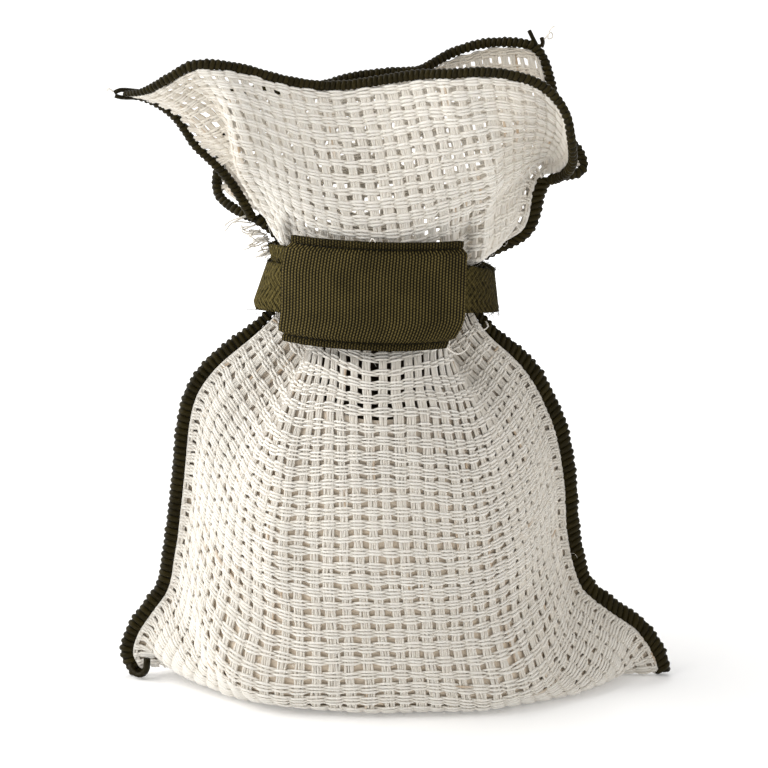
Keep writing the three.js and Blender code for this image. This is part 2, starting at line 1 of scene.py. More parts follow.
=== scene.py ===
import bmesh
import bpy
import math
import numpy as np
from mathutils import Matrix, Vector


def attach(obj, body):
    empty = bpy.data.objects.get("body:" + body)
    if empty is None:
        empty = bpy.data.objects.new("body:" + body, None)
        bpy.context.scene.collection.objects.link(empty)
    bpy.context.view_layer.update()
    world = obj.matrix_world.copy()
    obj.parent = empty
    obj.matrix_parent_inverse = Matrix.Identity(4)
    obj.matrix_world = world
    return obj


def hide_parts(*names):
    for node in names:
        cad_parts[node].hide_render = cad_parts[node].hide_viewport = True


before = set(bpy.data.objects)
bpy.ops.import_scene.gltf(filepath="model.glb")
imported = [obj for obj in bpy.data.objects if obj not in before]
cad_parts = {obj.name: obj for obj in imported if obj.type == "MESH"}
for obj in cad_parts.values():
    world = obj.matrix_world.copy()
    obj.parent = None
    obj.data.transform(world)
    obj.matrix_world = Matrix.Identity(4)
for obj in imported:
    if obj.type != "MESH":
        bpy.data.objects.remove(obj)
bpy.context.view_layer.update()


# The picture. The pouch stands on a pale floor, and a long lens sees its front from 0.6 m away and
# a little above. The pouch is measured in millimetres from the plane of its side seams, and the
# frame's origin is the middle of its footprint.
MM = 0.001
FOOTPRINT_MIDDLE = np.array((1.15, -1.48, 0.0))

DISTANCE = 0.6
ELEVATION = math.radians(12)
AIM = Vector((-0.00335, 0.00148, 0.0826))
HALF_FIELD = 0.1037


def add_object(name, data):
    made = bpy.data.objects.new(name, data)
    bpy.context.scene.collection.objects.link(made)
    return made


camera_data = bpy.data.cameras.new("camera")
camera_data.lens = camera_data.sensor_width / 2 * DISTANCE / HALF_FIELD
camera = add_object("camera", camera_data)
camera.location = AIM + DISTANCE * Vector((0, -math.cos(ELEVATION), math.sin(ELEVATION)))
camera.rotation_euler = (math.pi / 2 - ELEVATION, 0, 0)
bpy.context.scene.camera = camera


# The studio: a wide white floor that glows a little, and more far behind, one large soft lamp well
# round on the left, a weak one on the right, one high behind, and soft white light from all round.
FLOOR_RADIUS = 9
FLOOR_COLOUR = (0.9, 0.9, 0.9, 1)
FLOOR_GLOW = (0.18, 0.18, 0.18, 1)
FAR_GLOW = (0.8, 0.8, 0.8, 1)
GLOW_FROM, GLOW_FULL = 0.25, 0.8
ALL_ROUND = 0.42
LAMPS = (
    # name, place in metres, size in metres, power in watts, colour
    ("key_lamp", (-1.1, -0.12, 0.75), 1.5, 24, (1.0, 0.985, 0.96)),
    ("fill_lamp", (1.1, -0.5, 0.5), 0.9, 3.6, (1.0, 0.96, 0.91)),
    ("back_lamp", (0.1, 0.7, 1.0), 0.6, 4, (1.0, 1.0, 1.0)),
)

floor_mesh = bpy.data.meshes.new("floor")
shape = bmesh.new()
bmesh.ops.create_circle(shape, cap_ends=True, segments=64, radius=FLOOR_RADIUS)
shape.to_mesh(floor_mesh)
shape.free()
floor = add_object("floor", floor_mesh)


class Field:
    """What one socket of a material gives over a surface. Sums on it add Math nodes."""

    def __init__(self, tree, socket=None):
        self.tree = tree
        self.socket = socket

    def node(self, kind, settings, inputs, output=0):
        """Adds a node: first its settings, then the values or links of its sockets."""
        made = self.tree.nodes.new(kind)
        for name, value in settings.items():
            setattr(made, name, value)
        for name, value in inputs.items():
            if isinstance(value, Field):
                self.tree.links.new(value.socket, made.inputs[name])
            else:
                made.inputs[name].default_value = value
        return Field(self.tree, made.outputs[output])

    def math(self, operation, *values):
        return self.node("ShaderNodeMath", {"operation": operation}, dict(enumerate(values)))

    def __add__(self, other):
        return self.math("ADD", self, other)

    def __sub__(self, other):
        return self.math("SUBTRACT", self, other)

    def __rsub__(self, other):
        return self.math("SUBTRACT", other, self)

    def __mul__(self, other):
        return self.math("MULTIPLY", self, other)

    def __truediv__(self, other):
        return self.math("DIVIDE", self, other)

    __radd__ = __add__
    __rmul__ = __mul__

    def mix(self, low, high):
        """A colour between two others, by this field."""
        return self.node("ShaderNodeMix", {"data_type": "RGBA"}, {0: self, 6: low, 7: high}, 2)


def object_place(start):
    return start.node("ShaderNodeTexCoord", {}, {}, "Object")


def set_inputs(node, values):
    for name, value in values.items():
        node.inputs[name].default_value = value


floor_paint = bpy.data.materials.new("floor_paint")
floor_paint.use_nodes = True
floor_shader = floor_paint.node_tree.nodes["Principled BSDF"]
set_inputs(floor_shader, {"Base Color": FLOOR_COLOUR, "Roughness": 0.9, "Specular IOR Level": 0.1,
                          "Emission Strength": 1})
start = Field(floor_paint.node_tree)
away = start.node(
    "ShaderNodeVectorMath", {"operation": "LENGTH"}, {0: object_place(start)}, "Value")
far = start.node("ShaderNodeMapRange", {"interpolation_type": "SMOOTHSTEP"},
                 {"Value": away, "From Min": GLOW_FROM, "From Max": GLOW_FULL})
glow = far.mix(FLOOR_GLOW, FAR_GLOW)
floor_paint.node_tree.links.new(glow.socket, floor_shader.inputs["Emission Color"])
floor_mesh.materials.append(floor_paint)

world = bpy.data.worlds.new("studio")
world.use_nodes = True
set_inputs(world.node_tree.nodes["Background"], {"Color": (1, 1, 1, 1), "Strength": ALL_ROUND})
bpy.context.scene.world = world
bpy.context.scene.view_settings.view_transform = "Standard"

for name, place, size, power, colour in LAMPS:
    lamp_data = bpy.data.lights.new(name, "AREA")
    lamp_data.size = size
    lamp_data.energy = power
    lamp_data.color = colour
    lamp = add_object(name, lamp_data)
    lamp.location = place
    lamp.rotation_euler = (AIM - Vector(place)).to_track_quat("-Z", "Y").to_euler()


# The cloth as it stands: one length of open mesh, folded at the bottom, joined up both sides, filled
# out and drawn in at the neck. A place on it is given flat, by how far across it lies from the middle
# and how far along from the bottom fold, positive up the front panel and negative up the back one.
BAG_WIDTH = 150
BAG_LENGTH = 205
EDGE_WIDTH = 4.2
HALF_WIDTH = (BAG_WIDTH - EDGE_WIDTH) / 2
LENGTH = BAG_LENGTH - EDGE_WIDTH / 2
REST = 0.7
LAYER_SPACING = 2.2
SEAM_FIN = 4
SPLITS = {"left": 142, "right": 164}
ROOT_SPAN = 0.45
CROWDING = 2.2
LINE_STEPS = 40
ROW_POINTS = 41
SLOPE_STEP = 0.003

NECK_HEIGHT = 108.5
NECK_MIDDLE_X = -3.6
NECK_HALF_WIDTH = 29
NECK_DEPTH = 21.6

# The side seams as they hang, from the bottom fold up to where the flaps part: x, z.
SEAMS = {
    "left": (
        (-70.8, 0.7), (-73.2, 6.5), (-71.6, 12.8), (-67.6, 19.1), (-63.1, 25.7), (-61.1, 34.9),
        (-58.5, 53.3), (-56.1, 73.5), (-53.8, 81), (-49.2, 87.6), (-43.9, 92.5), (-38.3, 97.1),
        (-33.7, 101.4), (-30.4, 106.2), (-29, 112), (-28.6, 118.8), (-31.2, 123.8), (-36.4, 128),
    ),
    "right": (
        (75.4, 0.7), (74.8, 4), (72.4, 9.3), (68.1, 14.9), (61, 20), (53.6, 26.3), (51, 33.5),
        (49.2, 43.4), (48.3, 56), (45.7, 69.8), (42.4, 78.2), (38.4, 85.6), (33.4, 91.4), (27.8, 96.4),
        (23.8, 101.4), (22.4, 107), (21.9, 113.4), (25.2, 117.4), (31.2, 120.6), (35.9, 123.8),
        (37.8, 129), (38.4, 134), (40.2, 138.6),
    ),
}

# The free side edges of the flaps, on from the top of each seam to the corners: x, y, z.
FLAP_EDGES = {
    "front": {
        "left": ((-38.2, -1.5, 131.6), (-41.5, -3, 137.4), (-45.3, -4, 142.3), (-51.2, -5, 148.2),
                 (-55.9, -5, 154.8), (-62.6, -5, 159), (-70.4, -6, 161)),
        "right": ((43.6, -6, 140), (46, -14, 144), (45.4, -22, 151.2)),
    },
    "back": {
        "left": ((-42, 3, 130.4), (-46, 7, 133.4), (-46.4, 11, 138.6), (-44.4, 14, 149),
                 (-45, 15, 159.5)),
        "right": ((45.4, 4, 139), (50.2, 6, 140), (49.8, 9, 143.6), (45.6, 11, 148.6),
                  (43.6, 12.5, 155.5), (41.6, 14, 163.5), (39.8, 15, 171)),
    },
}

# The middle of each panel from the bottom fold to the rim: x, y, z.
MIDDLES = {
    "front": (
        (2, 0, REST), (2, -29, REST), (1.5, -34, 2.6), (1, -36, 9), (-1, -35.5, 28),
        (-3, -35, 52), (-4, -34, 72), (-4.6, -31.5, 82), (-4.6, -26.5, 90), (-4.6, -22.5, 98),
        (-4.6, -NECK_DEPTH, NECK_HEIGHT), (-4.8, -21.4, 120), (-6.5, -20, 135), (-9, -17.5, 150),
        (-12, -15, 163.3),
    ),
    "back": (
        (2, 0, REST), (2, 21, REST), (1.5, 28, 2.6), (1, 31.5, 9), (0, 33, 28), (-2, 33, 52),
        (-4, 32, 70), (-4.6, 29, 81), (-4.6, 24.5, 90), (-4.6, 22, 98),
        (-4.6, NECK_DEPTH, NECK_HEIGHT), (-4.8, 20.5, 120), (-6, 18, 135), (-7, 15, 150),
        (-8, 12, 165.5),
    ),
}

# The rim of each flap from its left corner to its right one: x, y, z.
RIMS = {
    "front": (
        (-70.4, -6, 161), (-63.5, -14, 161.9), (-56.5, -20, 165.5), (-50.4, -23, 168.7),
        (-44.7, -23, 169), (-37.4, -20, 167.6), (-28.7, -17, 164.8), (-21, -15, 163.4),
        (-12.2, -14, 163.2), (-3.2, -15, 164.5), (7, -18, 166.2), (14.5, -20, 166.5),
        (23.3, -21, 167), (31, -21, 166), (37.6, -20, 163.5), (41.7, -20, 160),
        (44.2, -21, 155.8), (45.4, -22, 151.2),
    ),
    "back": (
        (-45, 15, 159.5), (-34, 18, 159.4), (-22, 14, 160.2), (-11.3, 11, 163.3),
        (-0.6, 11, 164.7), (7.4, 13, 165.2), (15.5, 16, 169.2), (23.6, 17, 171.8),
        (31.6, 16, 172.4), (36.6, 15, 171.8), (39.8, 15, 171),
    ),
}

# How a row runs from the middle of a panel to the seams: how far up it is, how far it keeps the
# middle's depth to the left and to the right, how far it flares straight out to the seam, and how
# late it comes in and climbs to the seam.
ROW_SHAPES = (
    (0, 0.5, 0.5, 1, 0.5),
    (8, 0.75, 1, 0.3, 0.95),
    (20, 0.85, 1, 0.3, 0.95),
    (34, 0.9, 0.9, 0.35, 0.75),
    (55, 0.7, 0.65, 0.3, 0.53),
    (95, 0.6, 0.6, 0.28, 0.51),
    (130, 0.5, 0.5, 0.2, 0.52),
    (150, 0.5, 0.5, 0.4, 0.49),
    (LENGTH, 0.6, 0.65, 0.6, 0.45),
)

# The gathers at the neck: side, across, half width, depth, reach below the neck, reach above.
GATHERS = (
    ("front", -49, 19, 7.5, 75, 17),
    ("front", 49, 19, 8, 42, 14),
    ("back", -49, 17, 7, 50, 17),
    ("back", 49, 17, 7, 50, 14),
)

# Soft folds that the cloth keeps from being packed flat and handled: panel, the fold's line in flat
# places, its half width and how far it stands out.
FOLDS = (
    ("front", ((-30, 111), (-28.5, 98), (-27, 81), (-28.8, 56)), 8, 1.3),
    ("front", ((-30, 109), (-13.5, 114), (0.9, 115.5), (15.3, 114), (37, 109)), 6, 0.9),
    ("front", ((-29.7, 201), (-37.8, 182.3), (-41.4, 172.4), (-44.1, 164.3), (-45, 148)), 7, 2.4),
    ("front", ((-44, 201), (-52, 184), (-56, 174), (-58, 164)), 11, -3.5),
    ("front", ((42.3, 185), (37.8, 177.8), (36, 168.8), (36, 159.8), (36, 144)), 6, 1.8),
    ("front", ((38, 180), (33, 190), (29, 201)), 7, 1.2),
    ("front", ((42, 184), (47, 192), (52, 201)), 7, 1.4),
    ("front", ((-70, 9.5), (-60, 7), (-51.3, 6.3), (-40.5, 10), (-28, 14)), 5, -2.4),
)
FOLD_TAPER = (-0.1, 0.25)
UNEVEN = 0.3
UNEVEN_WAVES = ((37, 61), (23, 33), (15, 19))
FLAT_BY_SEAM = 7

# The oval that the tape binds the neck in, and how the tape and the woven band press the cloth.
BOUND_HALF_WIDTH = NECK_HALF_WIDTH - REST - 1.6
BOUND_DEPTH = NECK_DEPTH - 0.15
TAPE_MIDDLE_HEIGHT = 110.8
TAPE_SLANT = 1.6
TAPE_REACH = 7.6
PAST_TAPE = 2.5
BAND_REACH = 15.5
BAND_SPAN = 23
PAST_BAND = 1.2
BAND_MIDDLE_HEIGHT = 110.9


def smooth_line(places):
    """Points close together on a smooth line through a few places."""
    p = np.array(places, float)
    p = np.vstack((2 * p[0] - p[1], p, 2 * p[-1] - p[-2]))
    t = np.linspace(0, 1, LINE_STEPS, endpoint=False)[:, None]
    pieces = []
    for a, b, c, d in zip(p, p[1:], p[2:], p[3:]):
        before, here, after = (np.linalg.norm(v) ** 0.5 for v in (b - a, c - b, d - c))
        leave = here * ((b - a) / before - (c - a) / (before + here) + (c - b) / here)
        arrive = here * ((c - b) / here - (d - b) / (here + after) + (d - c) / after)
        pieces.append(b + leave * t + (3 * (c - b) - 2 * leave - arrive) * t**2
                      + (2 * (b - c) + leave + arrive) * t**3)
    return np.vstack((*pieces, p[-2:-1]))


def distances(line):
    """How far along a line each of its points lies."""
    steps = np.linalg.norm(np.diff(line, axis=0), axis=1)
    return np.concatenate(([0], np.cumsum(steps)))


def values_at(wanted, reached, values):
    """Values in threes at wanted distances, from those at the distances reached."""
    return np.stack([np.interp(wanted, reached, values[:, k]) for k in range(3)], -1)


def at_share(line, share):
    """The places at given shares of a line's length."""
    reached = distances(line)
    return values_at(np.asarray(share) * reached[-1], reached, line)


def unit(vectors):
    return vectors / np.maximum(np.linalg.norm(vectors, axis=-1, keepdims=True), 1e-9)


def ease(low, high, x):
    """A smooth step from 0 at low to 1 at high."""
    t = np.clip((x - low) / (high - low), 0, 1)
    return t * t * (3 - 2 * t)


seam_lines = {hand: smooth_line([(x, 0, z) for x, z in rows]) for hand, rows in SEAMS.items()}
middle_lines = {side: smooth_line(rows) for side, rows in MIDDLES.items()}
rim_lines = {side: smooth_line(rows) for side, rows in RIMS.items()}
flap_lines = {
    side: {
        hand: smooth_line([(SEAMS[hand][-1][0], 0, SEAMS[hand][-1][1]), *rows])
        for hand, rows in hands.items()
    }
    for side, hands in FLAP_EDGES.items()
}


def layer_at(up):
    """How far a layer of the cloth keeps from the plane of the seams, at a height up the cloth."""
    apart = LAYER_SPACING / 2
    return apart * math.sin(min(up / apart, math.pi / 2))


def edge_at(side, hand, up):
    """The edge of a panel at a height up the cloth, and the direction that it faces."""
    split = SPLITS[hand]
    on_seam = up <= split
    line = seam_lines[hand] if on_seam else flap_lines[side][hand]
    share = up / split if on_seam else (up - split) / (LENGTH - split)
    point = at_share(line, share)
    before, after = at_share(line, [max(share - SLOPE_STEP, 0), min(share + SLOPE_STEP, 1)])
    along = unit(after - before)
    out = np.array((-along[2], 0, along[0])) * (1 if hand == "left" else -1)
    point[1] += layer_at(up) * (-1 if side == "front" else 1)
    return point, unit(out)


def row_shape(up):
    """The shape of a row at a height up the cloth, between those in ROW_SHAPES."""
    rows = np.array(ROW_SHAPES)
    k = max(1, int(np.argmax(rows[:, 0] >= up)))
    share = ease(rows[k - 1, 0], rows[k, 0], up)
    return rows[k - 1, 1:] + (rows[k, 1:] - rows[k - 1, 1:]) * share


def cloth_row(side, up, across):
    """One row of a panel before its gathers, from seam to seam."""
    middle = at_share(middle_lines[side], up / LENGTH)
    left, right, flare, late = row_shape(up)
    t = np.linspace(0, 1, ROW_POINTS)[:, None]
    flat_reach = HALF_WIDTH - SEAM_FIN
    points = np.zeros((len(across), 3))
    for hand, keep in (("left", left), ("right", right)):
        point, out = edge_at(side, hand, up)
        root = point - SEAM_FIN * out
        reach = root - middle
        near_middle = middle + np.array((reach[0] * keep, 0, 0))
        near_root = root - reach * (ROOT_SPAN * flare, late, late)
        line = ((1 - t) ** 3 * middle + 3 * (1 - t) ** 2 * t * near_middle
                + 3 * (1 - t) * t**2 * near_root + t**3 * root)
        length = distances(line)[-1]
        here = across < 0 if hand == "left" else across >= 0
        flat = np.abs(across[here])
        share = np.minimum(flat / flat_reach, 1)
        spare = flat_reach - length
        placed = flat_reach * share - spare * share**CROWDING if spare > 0 else length * share
        fin = np.clip((flat - flat_reach) / SEAM_FIN, 0, 1)[:, None]
        points[here] = at_share(line, placed / length) + fin * (point - root)
    return points


def grid_normals(points):
    return unit(np.cross(np.gradient(points, axis=1), np.gradient(points, axis=0)))


def hump(distance, half_width):
    """A smooth rise and fall: 1 at no distance, and 0 from half a width on."""
    return 0.5 + 0.5 * np.cos(math.pi * np.clip(np.abs(distance) / half_width, 0, 1))


GRID_ACROSS = np.linspace(-HALF_WIDTH, HALF_WIDTH, 163)
GRID_ALONG = np.linspace(-LENGTH, LENGTH, 453)
GRID_SIDES = {"front": GRID_ALONG >= 0, "back": GRID_ALONG < 0}


def make_cloth_shape():
    """The middle of the cloth as it stands, on a fine grid over the flat cloth."""
    points = np.array([
        cloth_row("front" if along >= 0 else "back", abs(along), GRID_ACROSS)
        for along in GRID_ALONG
    ])
    up = np.abs(GRID_ALONG)[:, None]
    pull = ease(SPLITS["left"], LENGTH, up)[:, :, None]
    for side, rows in GRID_SIDES.items():
        share = (GRID_ACROSS + HALF_WIDTH) / (2 * HALF_WIDTH)
        wave = at_share(rim_lines[side], share) - cloth_row(side, LENGTH, GRID_ACROSS)
        points[rows] += pull[rows] * wave
    inward = np.zeros(points.shape[:2])
    for side, across, half_width, depth, below, above in GATHERS:
        height = points[:, :, 2] - NECK_HEIGHT
        reach = np.where(height < 0, below, above)
        trough = depth * hump(GRID_ACROSS[None, :] - across, half_width) * hump(height, reach)
        inward += trough * GRID_SIDES[side][:, None]
    points -= grid_normals(points) * inward[:, :, None]
    return points


def add_folds(points):
    """Raises the folds from the cloth's own surface, and makes it a little uneven all over."""
    up = np.abs(GRID_ALONG)[:, None]
    across = GRID_ACROSS[None, :]
    raised = np.zeros(points.shape[:2])
    for k, (wide, long) in enumerate(UNEVEN_WAVES):
        across_wave = np.sin(across / wide * 2 * math.pi + 2 * k + GRID_ALONG[:, None] / 50)
        raised += UNEVEN / (k + 1) * across_wave * np.sin(up / long * 2 * math.pi + across / 40 + k)
    for side, places, half_width, height in FOLDS:
        line = smooth_line([(x, y, 0) for x, y in places])[::6, :2]
        away = np.hypot(across[:, :, None] - line[:, 0], up[:, :, None] - line[:, 1])
        share = away.argmin(2) / (len(line) - 1)
        taper = ease(*FOLD_TAPER, share) * ease(*FOLD_TAPER, 1 - share)
        fold = height * taper * hump(away.min(2), half_width)
        raised += fold * GRID_SIDES[side][:, None]
    raised *= ease(0, FLAT_BY_SEAM, HALF_WIDTH - np.abs(across))
    points += grid_normals(points) * raised[:, :, None]


def press_neck(points):
    """Keeps the cloth inside the tape and the woven band, and its two layers apart."""
    x, y, z = np.moveaxis(points, 2, 0)
    off_middle = x - NECK_MIDDLE_X
    tape_height = TAPE_MIDDLE_HEIGHT - TAPE_SLANT * off_middle / NECK_HALF_WIDTH
    past = np.maximum(0, np.abs(z - tape_height) - TAPE_REACH)
    wide = BOUND_HALF_WIDTH + PAST_TAPE * past
    deep = BOUND_DEPTH + PAST_TAPE * past
    reach = np.hypot(off_middle / wide, y / deep)
    reach = np.where(past > TAPE_REACH, 1, np.maximum(reach, 1))
    x[:] = NECK_MIDDLE_X + off_middle / reach
    y /= reach
    past = np.maximum(0, np.abs(z - BAND_MIDDLE_HEIGHT) - BAND_REACH)
    off_middle = np.abs(x - NECK_MIDDLE_X)
    beside = np.maximum(0, off_middle - BAND_SPAN)
    share = np.minimum(off_middle, BAND_SPAN) / BOUND_HALF_WIDTH
    limit = BOUND_DEPTH * np.sqrt(1 - share**2) + PAST_BAND * past + beside
    front = GRID_SIDES["front"][:, None]
    y[:] = np.where(front, np.maximum(y, -limit), y)
    layer = np.array([layer_at(abs(along)) for along in GRID_ALONG])[:, None]
    y[:] = np.where(front, np.minimum(y, -layer), np.maximum(y, layer))
    z[:] = np.maximum(z, REST)


cloth_points = make_cloth_shape()
add_folds(cloth_points)
press_neck(cloth_points)
cloth_normals = grid_normals(cloth_points)


def on_cloth(across, along, lift=0.0):
    """Places on the standing cloth from flat ones, lifted off the middle of its thickness."""
    column = np.interp(across, GRID_ACROSS, np.arange(len(GRID_ACROSS)))
    row = np.interp(along, GRID_ALONG, np.arange(len(GRID_ALONG)))
    c = np.minimum(column.astype(int), len(GRID_ACROSS) - 2)
    r = np.minimum(row.astype(int), len(GRID_ALONG) - 2)
    x = (column - c)[..., None]
    y = (row - r)[..., None]
    mixed = []
    for grid in (cloth_points, cloth_normals):
        low = grid[r, c] * (1 - x) + grid[r, c + 1] * x
        high = grid[r + 1, c] * (1 - x) + grid[r + 1, c + 1] * x
        mixed.append(low * (1 - y) + high * y)
    return mixed[0] + mixed[1] * np.asarray(lift)[..., None]


# The yarns: an open weave of off-white linen. Four warp yarns or so lie side by side and nearly
# straight. Across them go bundles of five or so finer weft yarns, which pass over and under the
# warp bundles in turn, so two or three bright floats show at each crossing, with a hole beside it.
# The floats are painted lighter and the dips under the warps darker: painted highlight and shade.
WARP_YARN = 0.68
WEFT_YARN = 0.54
WARP_PITCH = 3.84
WEFT_PITCH = 3.69
WARP_BUNDLES = 38
WEFT_BUNDLES = 55
WARP_YARN_GAP = 0.52
WEFT_YARN_GAP = 0.41
WARP_CRIMP = 0.12
WEFT_CRIMP = 0.36
FLOAT_REACH = 0.26

# How many yarns a bundle has, and how likely it has one fewer or one more.
WARP_YARNS = (4, 0.05, 0.3)
WEFT_YARNS = (5, 0.15, 0.3)

# How far bundles and yarns wander sideways, and how much the yarns swell, over how long a wave.
WARP_WANDER = {"bundle": (0.22, 70), "yarn": (0.12, 15), "width": (0.1, 23)}
WEFT_WANDER = {"bundle": (0.2, 60), "yarn": (0.09, 14), "width": (0.08, 21)}

# The palest and darkest yarn, and how many in one have a tan slub.
WARP_SHADES = (0.3, 0.8, 0.45)
WEFT_SHADES = (0.35, 0.65, 0.05)

# How far the weft hangs at WEFT_LEVEL_REACH beside the middle, from the belly to the shoulder, and
# the heights up the cloth where that sets in, deepens and ends.
WEFT_LEVEL = 6
WEFT_LEVEL_TOP = 12
WEFT_LEVEL_REACH = 30
LEVEL_SETS_IN = (8, 45)
LEVEL_DEEPENS = (60, 105)
LEVEL_ENDS = (155, 120)

# How much painted shade darkens the cloth at the flaps' left and right corners and on the belly's
# right, how much fuller its yarns are all over, above the neck and beside the seams, and where these
# set in.
CLOTH_PAINTED_SHADE = {"left": 0.75, "right": 0.4, "belly": 0.2}
FULLER = {"all": 1.04, "above": 0.17, "beside": 0.26}
FLAP_TOPS = (150, 165)
FLAP_CORNERS = (38, 46)
BELLY_RIGHT = (32, 44)
ABOVE_NECK = (110, 150)
BESIDE_SEAMS = (24, 42)

# How far the yarns end from the rim, the seams and the sides of the flaps.
RIM_END = 0.3
SEAM_END = 1.9
FLAP_END = 0.6

yarn_chance = np.random.default_rng(11)


def wander(length, size, longest):
    """A smooth drift along a yarn, of two waves."""
    drift = np.zeros(length.shape)
    for share in (1, 0.43):
        wave = longest * share * yarn_chance.uniform(0.8, 1.2)
        start_at = yarn_chance.uniform(0, 2 * math.pi)
        drift += size * share * np.sin(2 * math.pi * length / wave + start_at)
    return drift


def strands_to_mesh(name, strands, width, sides=4):
    """Strands become one mesh of round yarns, in metres. A strand is its points and, for each
    point, a relative width, a shade that holds the yarn's own colour and any painted shade, and how
    much of a slub is there."""
    curve = bpy.data.curves.new(name, "CURVE")
    curve.dimensions = "3D"
    curve.bevel_depth = width / 2 * MM
    curve.bevel_resolution = (sides - 4) // 2
    curve.use_fill_caps = True
    for points, widths, _, _ in strands:
        points[:, 2] = np.maximum(points[:, 2], width * widths / 2)
        spline = curve.splines.new("POLY")
        spline.points.add(len(points) - 1)
        place = np.ones((len(points), 4))
        place[:, :3] = (points - FOOTPRINT_MIDDLE) * MM
        spline.points.foreach_set("co", place.ravel())
        spline.points.foreach_set("radius", widths)
    drawn = add_object(name, curve)
    mesh = bpy.data.meshes.new_from_object(drawn.evaluated_get(
        bpy.context.evaluated_depsgraph_get()))
    bpy.data.objects.remove(drawn)
    bpy.data.curves.remove(curve)
    mesh.name = name
    # The mesh has the end caps first, from the last strand to the first.
    for number, layer_name in ((2, "tone_and_painted_shade"), (3, "slub")):
        ends = [strand[number][[-1, 0]] for strand in reversed(strands)]
        values = np.concatenate(ends + [strand[number] for strand in strands])
        layer = mesh.attributes.new(layer_name, "FLOAT", "POINT")
        layer.data.foreach_set("value", np.repeat(values, sides).astype(np.float32))
    shape = bmesh.new()
    shape.from_mesh(mesh)
    bmesh.ops.remove_doubles(shape, verts=shape.verts, dist=1e-6)
    shape.to_mesh(mesh)
    shape.free()
    mesh.shade_smooth()
    return mesh


def add_piece(name, mesh, material, slot, *nodes):
    """Puts a finished mesh in the scene, on the pouch's one body, in place of its nodes."""
    piece = add_object(name, mesh)
    mesh.materials.clear()
    mesh.materials.append(material)
    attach(piece, "root")
    if nodes:
        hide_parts(*nodes)
    return piece


def plain_strand(line, widths=1, shades=0):
    """A strand with no slub on it."""
    none = np.zeros(len(line))
    return line, none + widths, none + shades, none


def colours(count, palest, darkest, slub_chance):
    """A shade for a whole yarn, and now and then a tan slub a few millimetres long on it."""
    slub = np.zeros(count)
    if yarn_chance.random() < slub_chance:
        middle = yarn_chance.integers(0, count)
        reach = yarn_chance.uniform(1.5, 5)
        slub = np.clip(1 - np.abs(np.arange(count) - middle) / reach, 0, 1) * 0.8
    return yarn_chance.uniform(palest, darkest), slub


def bundle_of_yarns(usual, fewer, more):
    """How many yarns lie in one bundle: now and then one fewer or one more than usual."""
    chance = yarn_chance.random()
    return usual - 1 if chance < fewer else usual + 1 if chance > 1 - more else usual


def levelled(across, up):
    """How far a weft yarn lies off its straight line: handling has pulled the middle level."""
    share = (across / WEFT_LEVEL_REACH) ** 2
    depth = WEFT_LEVEL + (WEFT_LEVEL_TOP - WEFT_LEVEL) * ease(*LEVEL_DEEPENS, up)
    body = ease(*LEVEL_SETS_IN, up) * ease(*LEVEL_ENDS, up)
    return -depth * share / np.sqrt(1 + share**2) * body


def darker(across, up):
    """Where the cloth gets a painted shade: towards the corners of the flaps and on the belly's right.
    """
    flaps = ease(*FLAP_TOPS, up)
    left = CLOTH_PAINTED_SHADE["left"] * ease(*FLAP_CORNERS, -across) * flaps
    right = CLOTH_PAINTED_SHADE["right"] * ease(*FLAP_CORNERS, across) * flaps
    return left + right + CLOTH_PAINTED_SHADE["belly"] * ease(*BELLY_RIGHT, across) * (1 - flaps)


def fuller(across, up):
    """How much fuller the yarns are where they lie closer: above the neck and by the seams."""
    flaps = ease(*ABOVE_NECK, up)
    sides = ease(*BESIDE_SEAMS, np.abs(across)) * (1 - flaps)
    return FULLER["all"] + FULLER["above"] * flaps + FULLER["beside"] * sides


def weave_panel(front):
    """The strands of the warp and of the weft of one panel."""
    sign = 1 if front else -1
    warp, weft = [], []
    warp_places = (np.arange(WARP_BUNDLES) - (WARP_BUNDLES - 1) / 2) * WARP_PITCH
    weft_places = (np.arange(WEFT_BUNDLES) + 0.5) * WEFT_PITCH
    rim_end = LENGTH - RIM_END
    for number, place in enumerate(warp_places):
        up = np.arange(0, rim_end, WEFT_PITCH / 2)
        bundle = wander(up, *WARP_WANDER["bundle"])
        yarns = bundle_of_yarns(*WARP_YARNS)
        for k in range(yarns):
            crimp = WARP_CRIMP * np.cos(math.pi * (up / WEFT_PITCH - 0.5)) * (-1) ** (number + k)
            beside = (k - (yarns - 1) / 2) * WARP_YARN_GAP
            across = place + bundle + beside + wander(up, *WARP_WANDER["yarn"])
            across = np.clip(across, SEAM_END - HALF_WIDTH, HALF_WIDTH - SEAM_END)
            points = on_cloth(across, sign * up, crimp)
            shade, slub = colours(len(up), *WARP_SHADES)
            widths = (1 + wander(up, *WARP_WANDER["width"])) * fuller(across, up)
            # Each yarn's shade gets the painted shade of the flap corners and the belly's right.
            warp.append((points, widths, shade + darker(across, up), slub))
    inner_places = warp_places[1:-1, None] + FLOAT_REACH * WARP_PITCH * np.array((-1, 1))
    wave = np.repeat((-1.0) ** np.arange(WARP_BUNDLES), 2)[1:-1]
    running = 0
    for place in weft_places:
        side_end = HALF_WIDTH - (SEAM_END if place < SPLITS["right"] else FLAP_END)
        across = np.concatenate(([-side_end], inner_places.ravel(), [side_end]))
        bundle = wander(across, *WEFT_WANDER["bundle"])
        yarns = bundle_of_yarns(*WEFT_YARNS)
        for k in range(yarns):
            over = wave * (-1) ** running
            running += 1
            beside = (k - (yarns - 1) / 2) * WEFT_YARN_GAP * (1 + 0.1 * over)
            up = place + bundle + beside + wander(across, *WEFT_WANDER["yarn"])
            up = np.clip(up + levelled(across, place), 0, rim_end)
            points = on_cloth(across, sign * up, WEFT_CRIMP * over)
            widths = 1.05 + 0.2 * over + wander(across, *WEFT_WANDER["width"])
            widths = widths * fuller(across, place)
            shade, slub = colours(len(across), *WEFT_SHADES)
            # Floats are painted lighter and dips darker by how the yarn lies: painted highlight and
            # shade, plus the painted shade of flaps and belly.
            weft.append((points, widths, shade - 0.5 * over + darker(across, up), slub))
    return warp, weft


